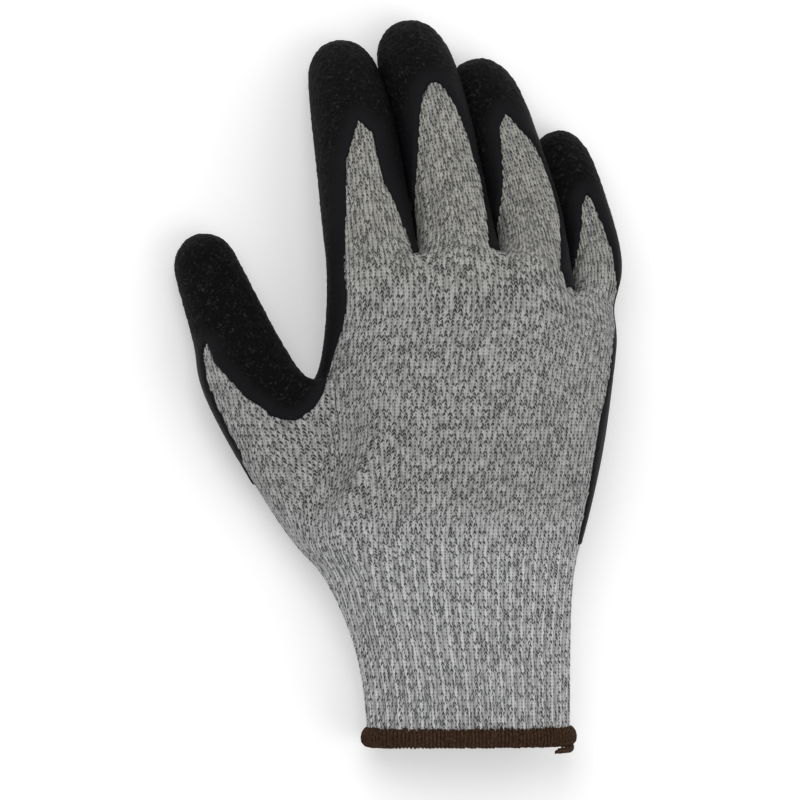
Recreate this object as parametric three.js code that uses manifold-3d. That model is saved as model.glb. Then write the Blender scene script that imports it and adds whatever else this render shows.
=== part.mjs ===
import * as THREE from 'three';
import { mergeVertices } from 'three/addons/utils/BufferGeometryUtils.js';
import Module from 'manifold-3d';

// A right-hand work glove: a seamless knitted liner, its palm side, fingertips and thumb dipped in latex.
// It lies palm down in the shape of a relaxed hand: +Y runs to the fingertips, +Z out of the back of the
// hand, -X to the thumb. Millimetres.

// Driving dimensions
const CUFF_WIDTH = 68;
const CUFF_DEPTH = 34;
const PALM_WIDTH = 96;
const PALM_DEPTH = 38;
const HAND_LENGTH = 164;
const KNUCKLE_RISE = 34;
const KNIT_WALL = 1.2;
const LATEX_WALL = 0.9;
const SKIN_GAP = 0.3;
const SEAM_GAP = 0.3;
const HEM_HEIGHT = 6;
const HEM_THICKNESS = 1.3;
const HEM_INNER_LEG = 0.8;
const TAIL_THICKNESS = 1.9;
const CUFF_SQUASH = 0.8;

// The coating's edge follows a line that leans this far, so it climbs higher on each finger's thumb side
const DIP_LEAN = THREE.MathUtils.degToRad(13);

// Stalls of the liner. Their widths are shares of the palm's width. The root is where the centre line
// starts; lean turns it towards the thumb and pitch towards the palm, from root to tip, in degrees.
const STALLS = {
  index: {
    length: 77, rootWidth: 0.2833, tipWidth: 0.2292, flatness: 0.9,
    root: { across: -0.382, up: 1.0, rise: 0.98 }, lean: [5, 2.5], pitch: [4.5, 42.5],
  },
  middle: {
    length: 84, rootWidth: 0.2458, tipWidth: 0.2312, flatness: 0.92,
    root: { across: -0.074, up: 1.006, rise: 0.99 }, lean: [8, 8.5], pitch: [3.5, 42],
  },
  ring: {
    length: 73, rootWidth: 0.217, tipWidth: 0.2146, flatness: 0.94,
    root: { across: 0.214, up: 0.994, rise: 0.9 }, lean: [10.5, 17], pitch: [8, 37.5],
  },
  little: {
    length: 57, rootWidth: 0.174, tipWidth: 0.172, flatness: 0.96,
    root: { across: 0.46, up: 0.93, rise: 0.65 }, lean: [5, 20], pitch: [3.5, 37.5],
  },
  thumb: {
    length: 68, rootWidth: 0.35, tipWidth: 0.2125, flatness: 0.88,
    root: { across: -0.702, up: 0.652, rise: 0.6 }, lean: [24, 16], pitch: [8, 14.5],
  },
};

// Sections along a stall: place and shrinkage from root width to tip width as shares, and the tip's rounding
const FINGER_SECTIONS = [
  { along: 0.12, taper: 0.02, round: 1.0 },
  { along: 0.45, taper: 0.32, round: 1.0 },
  { along: 0.77, taper: 0.92, round: 1.0 },
  { along: 0.93, taper: 1.0, round: 0.74 },
];
const THUMB_SECTIONS = [
  { along: 0.2, taper: 0.25, round: 1.0 },
  { along: 0.48, taper: 0.66, round: 1.0 },
  { along: 0.78, taper: 1.0, round: 1.0 },
  { along: 0.93, taper: 1.0, round: 0.76 },
];

// Sections of the cuff and hand, hem to finger roots. up is a share of the hand's length, spread of the way
// from cuff width to palm width, fullness of the depth there, lift of the way from resting cuff to knuckles.
// The droops lower the section's two edges (shares of the knuckles' rise), shift moves it across (share of
// the palm's width) and arch carries the slant of the finger roots into the rows below them.
const HAND_COLUMNS = ['up', 'spread', 'fullness', 'lift', 'thumbDroop', 'littleDroop', 'shift', 'arch'];
const HAND_SECTIONS = [
  [0.012, 0.0, 1.0, 0.0, 0.0, 0.0, 0.008, 0],
  [0.08, 0.02, 1.0, 0.0, 0.0, 0.0, 0.004, 0],
  [0.18, 0.12, 0.98, 0.03, 0.01, 0.0, -0.01, 0],
  [0.28, 0.33, 0.98, 0.1, 0.05, 0.0, -0.04, 0],
  [0.365, 0.66, 0.98, 0.18, 0.12, 0.02, -0.075, 0],
  [0.455, 1.23, 1.0, 0.32, 0.2, 0.07, -0.12, 0],
  [0.6, 1.06, 1.05, 0.56, 0.3, 0.18, -0.04, 0],
  [0.745, 1.13, 1.0, 0.78, 0.24, 0.26, -0.018, 0.1],
  [0.88, 1.12, 0.9, 0.93, 0.12, 0.38, 0.006, 0.4],
  [1.0, 1.13, 0.75, 1.0, 0.09, 0.47, 0.003, 1],
].map((row) => Object.fromEntries(HAND_COLUMNS.map((name, column) => [name, row[column]])));
const CUFF_ROWS = 4;
const THUMB_ROWS = [5, 6, 7];

// Lengthwise lines of the hand, round the section from the thumb edge over the back and home under the palm.
// across is a share of the half width, side is the back (1) or palm (-1), slant is how far past the last
// section the line ends (share of the hand's length), and web marks the valleys between fingers.
const LINES = [
  { name: 'thumbEdge', across: -1, side: 0, slant: -0.022, web: 0 },
  { name: 'thumbBack', across: -0.93, side: 1, slant: -0.022, web: 0 },
  { name: 'indexBack', across: -0.72, side: 1, slant: -0.014, web: 0 },
  { name: 'web1Back', across: -0.44, side: 1, slant: -0.012, web: 1 },
  { name: 'middleBack', across: -0.17, side: 1, slant: -0.004, web: 0 },
  { name: 'web2Back', across: 0.1, side: 1, slant: -0.006, web: 1 },
  { name: 'ringBack', across: 0.39, side: 1, slant: -0.02, web: 0 },
  { name: 'web3Back', across: 0.63, side: 1, slant: -0.082, web: 1 },
  { name: 'littleBack', across: 0.83, side: 1, slant: -0.088, web: 0 },
  { name: 'littleEdgeBack', across: 0.955, side: 1, slant: -0.1, web: 0 },
  { name: 'littleEdge', across: 1, side: 0, slant: -0.1, web: 0 },
  { name: 'littleEdgePalm', across: 0.955, side: -1, slant: -0.1, web: 0 },
  { name: 'littlePalm', across: 0.83, side: -1, slant: -0.088, web: 0 },
  { name: 'web3Palm', across: 0.63, side: -1, slant: -0.082, web: 1 },
  { name: 'ringPalm', across: 0.39, side: -1, slant: -0.02, web: 0 },
  { name: 'web2Palm', across: 0.1, side: -1, slant: -0.006, web: 1 },
  { name: 'middlePalm', across: -0.17, side: -1, slant: -0.004, web: 0 },
  { name: 'web1Palm', across: -0.44, side: -1, slant: -0.012, web: 1 },
  { name: 'indexPalm', across: -0.72, side: -1, slant: -0.014, web: 0 },
  { name: 'thumbPalm', across: -0.93, side: -1, slant: -0.022, web: 0 },
];
const WEBS = ['web1', 'web2', 'web3'];
const WEB_VALLEY = 0.12;
const WEB_REACH = 0.012;

// Each finger stall starts from eight points: its thumb side, back, little side and palm side
const FINGER_ROOTS = {
  index: ['thumbEdge', 'thumbBack', 'indexBack', 'web1Back', 'web1', 'web1Palm', 'indexPalm', 'thumbPalm'],
  middle: ['web1', 'web1Back', 'middleBack', 'web2Back', 'web2', 'web2Palm', 'middlePalm', 'web1Palm'],
  ring: ['web2', 'web2Back', 'ringBack', 'web3Back', 'web3', 'web3Palm', 'ringPalm', 'web2Palm'],
  little: ['web3', 'web3Back', 'littleBack', 'littleEdgeBack', 'littleEdge', 'littleEdgePalm', 'littlePalm',
    'web3Palm'],
};

// Bare knit on the back of each finger, from the roots to its point: along is a share of the stall, and the
// two edges are shares of its half width from the centre line, thumb side negative.
const FINGER_WINDOWS = {
  index: [
    { along: -0.12, thumbSide: -0.43, littleSide: 1.3 },
    { along: 0.06, thumbSide: -0.43, littleSide: 1.3 },
    { along: 0.165, thumbSide: -0.38, littleSide: 0.82 },
    { along: 0.233, thumbSide: -0.34, littleSide: 0.73 },
    { along: 0.37, thumbSide: -0.16, littleSide: 0.6 },
    { along: 0.463, thumbSide: -0.04, littleSide: 0.56 },
    { along: 0.55, thumbSide: 0.14, littleSide: 0.5 },
    { along: 0.585, thumbSide: 0.3, littleSide: 0.34 },
  ],
  middle: [
    { along: -0.12, thumbSide: -0.9, littleSide: 1.3 },
    { along: 0.03, thumbSide: -0.86, littleSide: 1.3 },
    { along: 0.2, thumbSide: -0.7, littleSide: 1.3 },
    { along: 0.38, thumbSide: -0.36, littleSide: 1.3 },
    { along: 0.5, thumbSide: -0.2, littleSide: 0.86 },
    { along: 0.6, thumbSide: 0.02, littleSide: 0.7 },
    { along: 0.645, thumbSide: 0.34, littleSide: 0.44 },
  ],
  ring: [
    { along: -0.12, thumbSide: -0.88, littleSide: 1.3 },
    { along: 0.05, thumbSide: -0.8, littleSide: 1.3 },
    { along: 0.25, thumbSide: -0.5, littleSide: 1.3 },
    { along: 0.4, thumbSide: -0.2, littleSide: 1.3 },
    { along: 0.52, thumbSide: 0.02, littleSide: 0.9 },
    { along: 0.61, thumbSide: 0.2, littleSide: 0.72 },
    { along: 0.655, thumbSide: 0.42, littleSide: 0.5 },
  ],
  little: [
    { along: -0.12, thumbSide: -0.5, littleSide: 1.3 },
    { along: 0.08, thumbSide: -0.3, littleSide: 1.3 },
    { along: 0.25, thumbSide: 0.0, littleSide: 1.3 },
    { along: 0.4, thumbSide: 0.2, littleSide: 0.92 },
    { along: 0.5, thumbSide: 0.36, littleSide: 0.78 },
    { along: 0.55, thumbSide: 0.5, littleSide: 0.58 },
  ],
};

// Bare knit on the back of the hand and on the thumb's outer side: up is a share of the hand's length and the
// two edges are shares of the palm's width from the middle, seen along the dip's lean.
const HAND_WINDOW = [
  { up: 1.03, thumbSide: -0.435, littleSide: 0.62 },
  { up: 0.961, thumbSide: -0.435, littleSide: 0.62 },
  { up: 0.913, thumbSide: -0.432, littleSide: 0.62 },
  { up: 0.856, thumbSide: -0.442, littleSide: 0.62 },
  { up: 0.819, thumbSide: -0.463, littleSide: 0.62 },
  { up: 0.758, thumbSide: -0.494, littleSide: 0.62 },
  { up: 0.711, thumbSide: -0.515, littleSide: 0.62 },
  { up: 0.68, thumbSide: -0.555, littleSide: 0.62 },
  { up: 0.662, thumbSide: -0.609, littleSide: 0.62 },
  { up: 0.655, thumbSide: -0.852, littleSide: 0.62 },
  { up: 0.595, thumbSide: -0.8, littleSide: 0.62 },
  { up: 0.533, thumbSide: -0.765, littleSide: 0.62 },
  { up: 0.48, thumbSide: -0.8, littleSide: 0.62 },
  { up: 0.407, thumbSide: -0.8, littleSide: 0.62 },
  { up: 0.34, thumbSide: -0.8, littleSide: 0.62 },
];
const THUMB_WINDOW = [
  { up: 0.816, thumbSide: -0.926, littleSide: -0.918 },
  { up: 0.776, thumbSide: -0.928, littleSide: -0.894 },
  { up: 0.742, thumbSide: -0.917, littleSide: -0.841 },
  { up: 0.703, thumbSide: -0.89, littleSide: -0.781 },
  { up: 0.684, thumbSide: -0.876, littleSide: -0.727 },
  { up: 0.669, thumbSide: -0.863, littleSide: -0.68 },
  { up: 0.662, thumbSide: -0.858, littleSide: -0.609 },
  { up: 0.655, thumbSide: -0.852, littleSide: -0.3 },
  { up: 0.595, thumbSide: -0.8, littleSide: -0.3 },
  { up: 0.533, thumbSide: -0.765, littleSide: -0.3 },
  { up: 0.48, thumbSide: -0.8, littleSide: -0.3 },
  { up: 0.36, thumbSide: -0.8, littleSide: -0.3 },
];
// The coating ends on the palm side along a straight line across the heel of the hand
const DIP_LINE = { thumbUp: 0.533, littleUp: 0.407, thumbAcross: -0.75, littleAcross: 0.41 };

// Overlocked edge round the cuff: a channel over the knit's rim. out is measured from the knit's outside in
// wall and stitching thicknesses, up from the hem's free edge.
const CUFF_RIM = HAND_SECTIONS[0].up * HAND_LENGTH;
const HEM_OUTSIDE = SKIN_GAP + HEM_THICKNESS;
const HEM_INSIDE = -(KNIT_WALL + SKIN_GAP);
const HEM_PROFILE = [
  { out: HEM_OUTSIDE, up: HEM_HEIGHT * 0.9 },
  { out: HEM_OUTSIDE, up: HEM_HEIGHT * 0.14 },
  { out: HEM_OUTSIDE * 0.4, up: 0 },
  { out: HEM_INSIDE - HEM_INNER_LEG, up: HEM_HEIGHT * 0.1 },
  { out: HEM_INSIDE - HEM_INNER_LEG, up: HEM_HEIGHT * 0.8 },
  { out: HEM_INSIDE, up: HEM_HEIGHT * 0.8 },
  { out: HEM_INSIDE, up: CUFF_RIM - SEAM_GAP },
  { out: SKIN_GAP, up: CUFF_RIM - SEAM_GAP },
  { out: SKIN_GAP, up: HEM_HEIGHT * 0.98 },
];

// Short loose end of the stitching, along the hem's free edge: around is a share of the cuff's half width,
// hang is how far it hangs clear of the edge in thread thicknesses.
const TAIL_ROUTE = [
  { around: 0.76, hang: 0.6 },
  { around: 0.83, hang: 0.6 },
  { around: 0.9, hang: 0.5 },
  { around: 0.96, hang: 0.5 },
];

const KNIT_COLOUR = 0x8b8c8c;
const LATEX_COLOUR = 0x19191b;
const HEM_COLOUR = 0x35261c;

// On the little finger's side the coating ends this far above the middle, in half widths
const FLANK_EDGE = 0.28;
const EDGE_ROUNDNESS = 2.4;
const STALL_ROUNDNESS = 2.1;
const palmEdgeRise = SKIN_GAP + LATEX_WALL;
const cuffRestRise = CUFF_DEPTH / 2 + HEM_OUTSIDE - CUFF_SQUASH;

const mix = (from, to, share) => from + (to - from) * share;

// Half height of a rounded section at a share of its half width
function sectionHeight(across) {
  return (1 - Math.abs(across) ** EDGE_ROUNDNESS) ** (1 / EDGE_ROUNDNESS);
}

// Size and place of the hand's section, at a share of the hand's length between two rows of the table
function handSection(up) {
  let row = 0;
  while (row < HAND_SECTIONS.length - 2 && HAND_SECTIONS[row + 1].up < up) row += 1;
  const low = HAND_SECTIONS[row];
  const high = HAND_SECTIONS[row + 1];
  const share = THREE.MathUtils.clamp((up - low.up) / (high.up - low.up), 0, 1);
  const at = (key) => mix(low[key], high[key], share);
  const depth = mix(CUFF_DEPTH, PALM_DEPTH, Math.min(at('spread'), 1)) * at('fullness');
  return {
    centre: at('shift') * PALM_WIDTH,
    halfWidth: mix(CUFF_WIDTH, PALM_WIDTH, at('spread')) / 2,
    halfDepth: depth / 2,
    rise: mix(cuffRestRise, KNUCKLE_RISE, at('lift')),
    thumbDroop: at('thumbDroop') * KNUCKLE_RISE,
    littleDroop: at('littleDroop') * KNUCKLE_RISE,
  };
}

// Height of the hand's middle surface at a share of the section's half width
function middleHeight(section, across) {
  const start = 0.1;
  const toThumb = Math.max(0, (-across - start) / (1 - start)) ** 2;
  const toLittle = Math.max(0, (across - start) / (1 - start)) ** 2;
  return section.rise - section.thumbDroop * toThumb - section.littleDroop * toLittle;
}

function handPoint(row, line) {
  const section = handSection(row.up);
  const middle = middleHeight(section, line.across);
  const valley = 1 - line.web * row.arch * WEB_VALLEY;
  return new THREE.Vector3(
    section.centre + line.across * section.halfWidth,
    (row.up + line.slant * row.arch) * HAND_LENGTH,
    middle + line.side * section.halfDepth * sectionHeight(line.across) * valley,
  );
}

// Centre line of a stall: position and directions at a share of its length
function stallFrame(stall, along) {
  const steps = 40;
  const position = new THREE.Vector3(
    stall.root.across * PALM_WIDTH, stall.root.up * HAND_LENGTH, stall.root.rise * KNUCKLE_RISE);
  const heading = (share) => {
    const lean = THREE.MathUtils.degToRad(mix(stall.lean[0], stall.lean[1], share));
    const pitch = THREE.MathUtils.degToRad(mix(stall.pitch[0], stall.pitch[1], share));
    const side = new THREE.Vector3(Math.cos(lean), Math.sin(lean), 0);
    const forward = new THREE.Vector3(
      -Math.sin(lean) * Math.cos(pitch), Math.cos(lean) * Math.cos(pitch), -Math.sin(pitch));
    return { side, forward, out: side.clone().cross(forward) };
  };
  for (let step = 0; step < steps; step += 1) {
    const share = ((step + 0.5) / steps) * along;
    position.addScaledVector(heading(share).forward, (stall.length * along) / steps);
  }
  return { position, ...heading(Math.max(0, along)) };
}

function stallWidth(stall, taper) {
  return mix(stall.rootWidth, stall.tipWidth, taper) * PALM_WIDTH;
}

function stallHalfWidth(stall, sections, along) {
  let row = 0;
  while (row < sections.length - 2 && sections[row + 1].along < along) row += 1;
  const low = sections[row];
  const high = sections[row + 1];
  const share = THREE.MathUtils.clamp((along - low.along) / (high.along - low.along), 0, 1);
  return stallWidth(stall, mix(low.taper, high.taper, share)) / 2;
}

// Eight points round a stall, in the order of its root: thumb side, back, little side, palm side
function stallRing(stall, section) {
  const { position, side, out } = stallFrame(stall, section.along);
  const halfWidth = (stallWidth(stall, section.taper) / 2) * section.round;
  const power = 2 / STALL_ROUNDNESS;
  return Array.from({ length: 8 }, (_, index) => {
    const angle = ((index - 2) * Math.PI) / 4;
    const across = Math.sign(Math.sin(angle)) * Math.abs(Math.sin(angle)) ** power;
    const height = Math.sign(Math.cos(angle)) * Math.abs(Math.cos(angle)) ** power;
    return position.clone()
      .addScaledVector(side, halfWidth * across)
      .addScaledVector(out, halfWidth * stall.flatness * height);
  });
}

// Net of four-sided faces that the liner's outside passes through, each face named after its stall
function linerNet() {
  const points = [];
  const faces = [];
  const add = (point) => points.push(point) - 1;
  const rows = HAND_SECTIONS.map((row) => {
    const ring = {};
    for (const line of LINES) ring[line.name] = add(handPoint(row, line));
    return ring;
  });
  const names = LINES.map((line) => line.name);
  rows.slice(0, -1).forEach((ring, row) => {
    const next = rows[row + 1];
    const atThumb = THUMB_ROWS.includes(row) && THUMB_ROWS.includes(row + 1);
    const piece = row < CUFF_ROWS ? 'cuff' : 'hand';
    names.forEach((name, index) => {
      const after = names[(index + 1) % names.length];
      if (atThumb && (name === 'thumbPalm' || name === 'thumbEdge')) return;
      faces.push({ corners: [ring[name], ring[after], next[after], next[name]], piece });
    });
  });
  const roots = rows[rows.length - 1];
  for (const web of WEBS) {
    const middle = points[roots[`${web}Back`]].clone().add(points[roots[`${web}Palm`]]).multiplyScalar(0.5);
    middle.y += WEB_REACH * HAND_LENGTH;
    roots[web] = add(middle);
  }
  const [bottom, side, top] = THUMB_ROWS.map((row) => rows[row]);
  const stallRoots = { thumb: [bottom.thumbEdge, bottom.thumbBack, side.thumbBack, top.thumbBack,
    top.thumbEdge, top.thumbPalm, side.thumbPalm, bottom.thumbPalm] };
  for (const [finger, around] of Object.entries(FINGER_ROOTS)) {
    stallRoots[finger] = around.map((name) => roots[name]);
  }
  for (const [name, stall] of Object.entries(STALLS)) {
    let ring = stallRoots[name];
    for (const section of name === 'thumb' ? THUMB_SECTIONS : FINGER_SECTIONS) {
      const next = stallRing(stall, section).map(add);
      ring.forEach((corner, index) => {
        const after = (index + 1) % 8;
        faces.push({ corners: [corner, ring[after], next[after], next[index]], piece: name });
      });
      ring = next;
    }
    const tip = add(stallFrame(stall, 1).position);
    for (let index = 0; index < 8; index += 2) {
      faces.push({ corners: [ring[index], ring[index + 1], ring[(index + 2) % 8], tip], piece: name });
    }
  }
  return dropUnused({ points, faces });
}

function dropUnused(net) {
  const places = new Map();
  const points = [];
  const faces = net.faces.map((face) => ({
    piece: face.piece,
    corners: face.corners.map((corner) => {
      if (!places.has(corner)) places.set(corner, points.push(net.points[corner]) - 1);
      return places.get(corner);
    }),
  }));
  return { points, faces };
}

// Edges and neighbours of a net, for smoothing it
function neighbours(net) {
  const edges = new Map();
  const around = net.points.map(() => ({ faces: [], across: [], edges: [] }));
  net.faces.forEach((face, index) => {
    face.corners.forEach((corner, place) => {
      const after = face.corners[(place + 1) % 4];
      const key = corner < after ? `${corner}_${after}` : `${after}_${corner}`;
      if (!edges.has(key)) {
        edges.set(key, { ends: [corner, after], faces: [] });
        around[corner].edges.push(key);
        around[after].edges.push(key);
      }
      edges.get(key).faces.push(index);
      around[corner].faces.push(index);
      around[corner].across.push(face.corners[(place + 2) % 4]);
    });
  });
  return { edges, around };
}

function sum(vectors) {
  return vectors.reduce((total, vector) => total.add(vector), new THREE.Vector3());
}

// Where each corner of the net ends up on the smooth surface
function smoothPoints(net, { edges, around }) {
  return net.points.map((point, index) => {
    const near = around[index].edges.map((key) => edges.get(key));
    const otherEnd = (edge) => net.points[edge.ends[0] === index ? edge.ends[1] : edge.ends[0]];
    const rim = near.filter((edge) => edge.faces.length === 1);
    if (rim.length > 0) return sum(rim.map(otherEnd)).addScaledVector(point, 4).divideScalar(6);
    const count = near.length;
    return sum(near.map(otherEnd)).multiplyScalar(4)
      .add(sum(around[index].across.map((corner) => net.points[corner])))
      .addScaledVector(point, count * count)
      .divideScalar(count * (count + 5));
  });
}

// Moves the net's corners out until the smooth surface passes through the sections
function fitNet(net) {
  const links = neighbours(net);
  const rounds = 10;
  const fitted = { points: net.points.map((point) => point.clone()), faces: net.faces };
  for (let round = 0; round < rounds; round += 1) {
    const smooth = smoothPoints(fitted, links);
    fitted.points.forEach((point, index) => point.add(net.points[index]).sub(smooth[index]));
  }
  return fitted;
}

// One step of smooth subdivision: each face becomes four
function subdivide(net) {
  const { edges, around } = neighbours(net);
  const facePoints = net.faces.map((face) => (
    sum(face.corners.map((corner) => net.points[corner])).divideScalar(4)));
  const points = net.points.map((point, index) => {
    const near = around[index].edges.map((key) => edges.get(key));
    const middles = (list) => list.map((edge) => (
      net.points[edge.ends[0]].clone().add(net.points[edge.ends[1]]).multiplyScalar(0.5)));
    const rim = near.filter((edge) => edge.faces.length === 1);
    if (rim.length > 0) return sum(middles(rim)).addScaledVector(point, 2).divideScalar(4);
    const count = near.length;
    return sum(around[index].faces.map((face) => facePoints[face])).divideScalar(count)
      .addScaledVector(sum(middles(near)), 2 / count)
      .addScaledVector(point, count - 3)
      .divideScalar(count);
  });
  const edgePlace = new Map();
  for (const [key, edge] of edges) {
    const ends = edge.ends.map((end) => net.points[end]);
    const parts = edge.faces.length === 1 ? ends : [...ends, ...edge.faces.map((face) => facePoints[face])];
    edgePlace.set(key, points.push(sum(parts).divideScalar(parts.length)) - 1);
  }
  const faces = [];
  net.faces.forEach((face, index) => {
    const centre = points.push(facePoints[index]) - 1;
    const middles = face.corners.map((corner, place) => {
      const after = face.corners[(place + 1) % 4];
      return edgePlace.get(corner < after ? `${corner}_${after}` : `${after}_${corner}`);
    });
    face.corners.forEach((corner, place) => {
      faces.push({ piece: face.piece, corners: [corner, middles[place], centre, middles[(place + 3) % 4]] });
    });
  });
  return { points, faces };
}

// The liner's outside as a smooth net, flattened where it rests, with the direction out of it at each point
function linerSurface() {
  const net = subdivide(fitNet(linerNet()));
  const points = smoothPoints(net, neighbours(net));
  const inCuff = new Set(net.faces.filter((face) => face.piece === 'cuff').flatMap((face) => face.corners));
  points.forEach((point, index) => {
    point.z = Math.max(point.z, inCuff.has(index) ? HEM_OUTSIDE : palmEdgeRise);
  });
  const normals = points.map(() => new THREE.Vector3());
  for (const { corners } of net.faces) {
    const [a, b, c, d] = corners.map((corner) => points[corner]);
    const area = c.clone().sub(a).cross(d.clone().sub(b));
    for (const corner of corners) normals[corner].add(area);
  }
  normals.forEach((normal) => normal.normalize());
  return { points, faces: net.faces, normals };
}

// Closed wall over the faces of one piece, between two distances from the liner's outside. Its free edges
// stand back from the neighbouring piece by half the seam's gap.
function wall(surface, piece, inside, outside) {
  const faces = surface.faces.filter((face) => face.piece === piece);
  const centres = faces.map((face) => (
    sum(face.corners.map((corner) => surface.points[corner])).divideScalar(4)));
  const directed = new Set();
  for (const { corners } of faces) {
    corners.forEach((corner, place) => directed.add(`${corner}_${corners[(place + 1) % 4]}`));
  }
  const rim = [];
  for (const { corners } of faces) {
    corners.forEach((corner, place) => {
      const after = corners[(place + 1) % 4];
      if (!directed.has(`${after}_${corner}`)) rim.push([corner, after]);
    });
  }
  const onRim = new Set(rim.flat());
  const place = new Map();
  const positions = [];
  const addPoint = (corner) => {
    const point = surface.points[corner].clone();
    const normal = surface.normals[corner];
    if (onRim.has(corner)) {
      const own = centres.filter((_, index) => faces[index].corners.includes(corner));
      const inward = sum(own).divideScalar(own.length).sub(point);
      inward.addScaledVector(normal, -inward.dot(normal)).normalize();
      point.addScaledVector(inward, SEAM_GAP / 2);
    }
    place.set(corner, positions.length / 3);
    for (const distance of [outside, inside]) {
      positions.push(...point.clone().addScaledVector(normal, distance).toArray());
    }
  };
  const outer = (corner) => {
    if (!place.has(corner)) addPoint(corner);
    return place.get(corner);
  };
  const inner = (corner) => outer(corner) + 1;
  const triangles = [];
  for (const { corners: [a, b, c, d] } of faces) {
    triangles.push(outer(a), outer(b), outer(c), outer(a), outer(c), outer(d));
    triangles.push(inner(a), inner(c), inner(b), inner(a), inner(d), inner(c));
  }
  for (const [from, to] of rim) {
    triangles.push(outer(to), outer(from), inner(from), outer(to), inner(from), inner(to));
  }
  return closedGeometry(positions, triangles);
}

function closedGeometry(positions, triangles) {
  const geometry = new THREE.BufferGeometry();
  geometry.setAttribute('position', new THREE.Float32BufferAttribute(positions, 3));
  geometry.setIndex(triangles);
  return geometry;
}

// Block that cuts a window: its sides run along the dip's lean, its underside follows the glove's middle
function windowBlock(rows, heightAt) {
  const columns = 8;
  const reach = KNUCKLE_RISE * 2.5;
  const positions = [];
  const corner = (row, column, top) => (row * (columns + 1) + column) * 2 + (top ? 1 : 0);
  for (const row of rows) {
    for (let column = 0; column <= columns; column += 1) {
      const seen = mix(row.from, row.to, column / columns);
      const bottom = heightAt(row, seen);
      for (const height of [bottom, reach]) {
        positions.push((seen - height * Math.sin(DIP_LEAN)) / Math.cos(DIP_LEAN), row.y, height);
      }
    }
  }
  const triangles = [];
  const quad = (a, b, c, d) => triangles.push(a, b, c, a, c, d);
  for (let row = 0; row < rows.length - 1; row += 1) {
    for (let column = 0; column < columns; column += 1) {
      quad(corner(row, column, true), corner(row, column + 1, true),
        corner(row + 1, column + 1, true), corner(row + 1, column, true));
      quad(corner(row, column, false), corner(row + 1, column, false),
        corner(row + 1, column + 1, false), corner(row, column + 1, false));
    }
    quad(corner(row, 0, false), corner(row, 0, true), corner(row + 1, 0, true), corner(row + 1, 0, false));
    quad(corner(row, columns, true), corner(row, columns, false),
      corner(row + 1, columns, false), corner(row + 1, columns, true));
  }
  const last = rows.length - 1;
  for (let column = 0; column < columns; column += 1) {
    const after = column + 1;
    quad(corner(0, column, false), corner(0, after, false), corner(0, after, true), corner(0, column, true));
    quad(corner(last, after, false), corner(last, column, false),
      corner(last, column, true), corner(last, after, true));
  }
  return closedGeometry(positions, triangles);
}

const seenAcross = (x, z) => x * Math.cos(DIP_LEAN) + z * Math.sin(DIP_LEAN);

function fingerWindow(name) {
  const stall = STALLS[name];
  const rows = FINGER_WINDOWS[name].map(({ along, thumbSide, littleSide }) => {
    const { position } = stallFrame(stall, along);
    const halfWidth = stallHalfWidth(stall, FINGER_SECTIONS, along) + palmEdgeRise;
    const centre = seenAcross(position.x, position.z);
    return {
      y: position.y, height: position.z, halfWidth,
      from: centre + thumbSide * halfWidth, to: centre + littleSide * halfWidth,
    };
  });
  return windowBlock(rows, (row) => row.height + FLANK_EDGE * row.halfWidth);
}

// Windows of the hand and thumb are given from the fingers down, so their rows are turned to run up
function broadWindow(table, heightAt) {
  const middle = seenAcross(0, KNUCKLE_RISE);
  const rows = table.map(({ up, thumbSide, littleSide }) => ({
    up, y: up * HAND_LENGTH,
    from: middle + thumbSide * PALM_WIDTH, to: middle + littleSide * PALM_WIDTH,
  })).reverse();
  return windowBlock(rows, heightAt);
}

function handMiddle(row, seen) {
  const section = handSection(row.up);
  const x = (seen - section.rise * Math.sin(DIP_LEAN)) / Math.cos(DIP_LEAN);
  const across = THREE.MathUtils.clamp((x - section.centre) / section.halfWidth, -1, 1);
  const flank = FLANK_EDGE * section.halfDepth * Math.max(0, across) * (row.up > DIP_LINE.thumbUp ? 1 : 0);
  return middleHeight(section, across) + flank;
}

function thumbMiddle(row) {
  const root = STALLS.thumb.root;
  const share = (row.up - root.up) * HAND_LENGTH / STALLS.thumb.length;
  return stallFrame(STALLS.thumb, Math.max(0, share)).position.z;
}

function dipBlock() {
  const thumbEnd = new THREE.Vector2(DIP_LINE.thumbAcross * PALM_WIDTH, DIP_LINE.thumbUp * HAND_LENGTH);
  const littleEnd = new THREE.Vector2(DIP_LINE.littleAcross * PALM_WIDTH, DIP_LINE.littleUp * HAND_LENGTH);
  const run = littleEnd.clone().sub(thumbEnd);
  const size = HAND_LENGTH * 2;
  const block = new THREE.BoxGeometry(size, size, size);
  block.translate(0, -size / 2, 0);
  block.rotateZ(run.angle());
  block.translate(thumbEnd.x, thumbEnd.y, 0);
  return block;
}

const wasm = await Module();
wasm.setup();

function toSolid(geometry) {
  const bare = geometry.clone();
  bare.deleteAttribute('normal');
  bare.deleteAttribute('uv');
  const merged = mergeVertices(bare, 1e-4);
  return new wasm.Manifold(new wasm.Mesh({
    numProp: 3,
    vertProperties: new Float32Array(merged.attributes.position.array),
    triVerts: new Uint32Array(merged.index.array),
  }));
}

function cut(geometry, ...blocks) {
  const solid = blocks.reduce((rest, block) => rest.subtract(toSolid(block)), toSolid(geometry));
  const mesh = solid.getMesh();
  return closedGeometry(Array.from(mesh.vertProperties), Array.from(mesh.triVerts));
}

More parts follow.
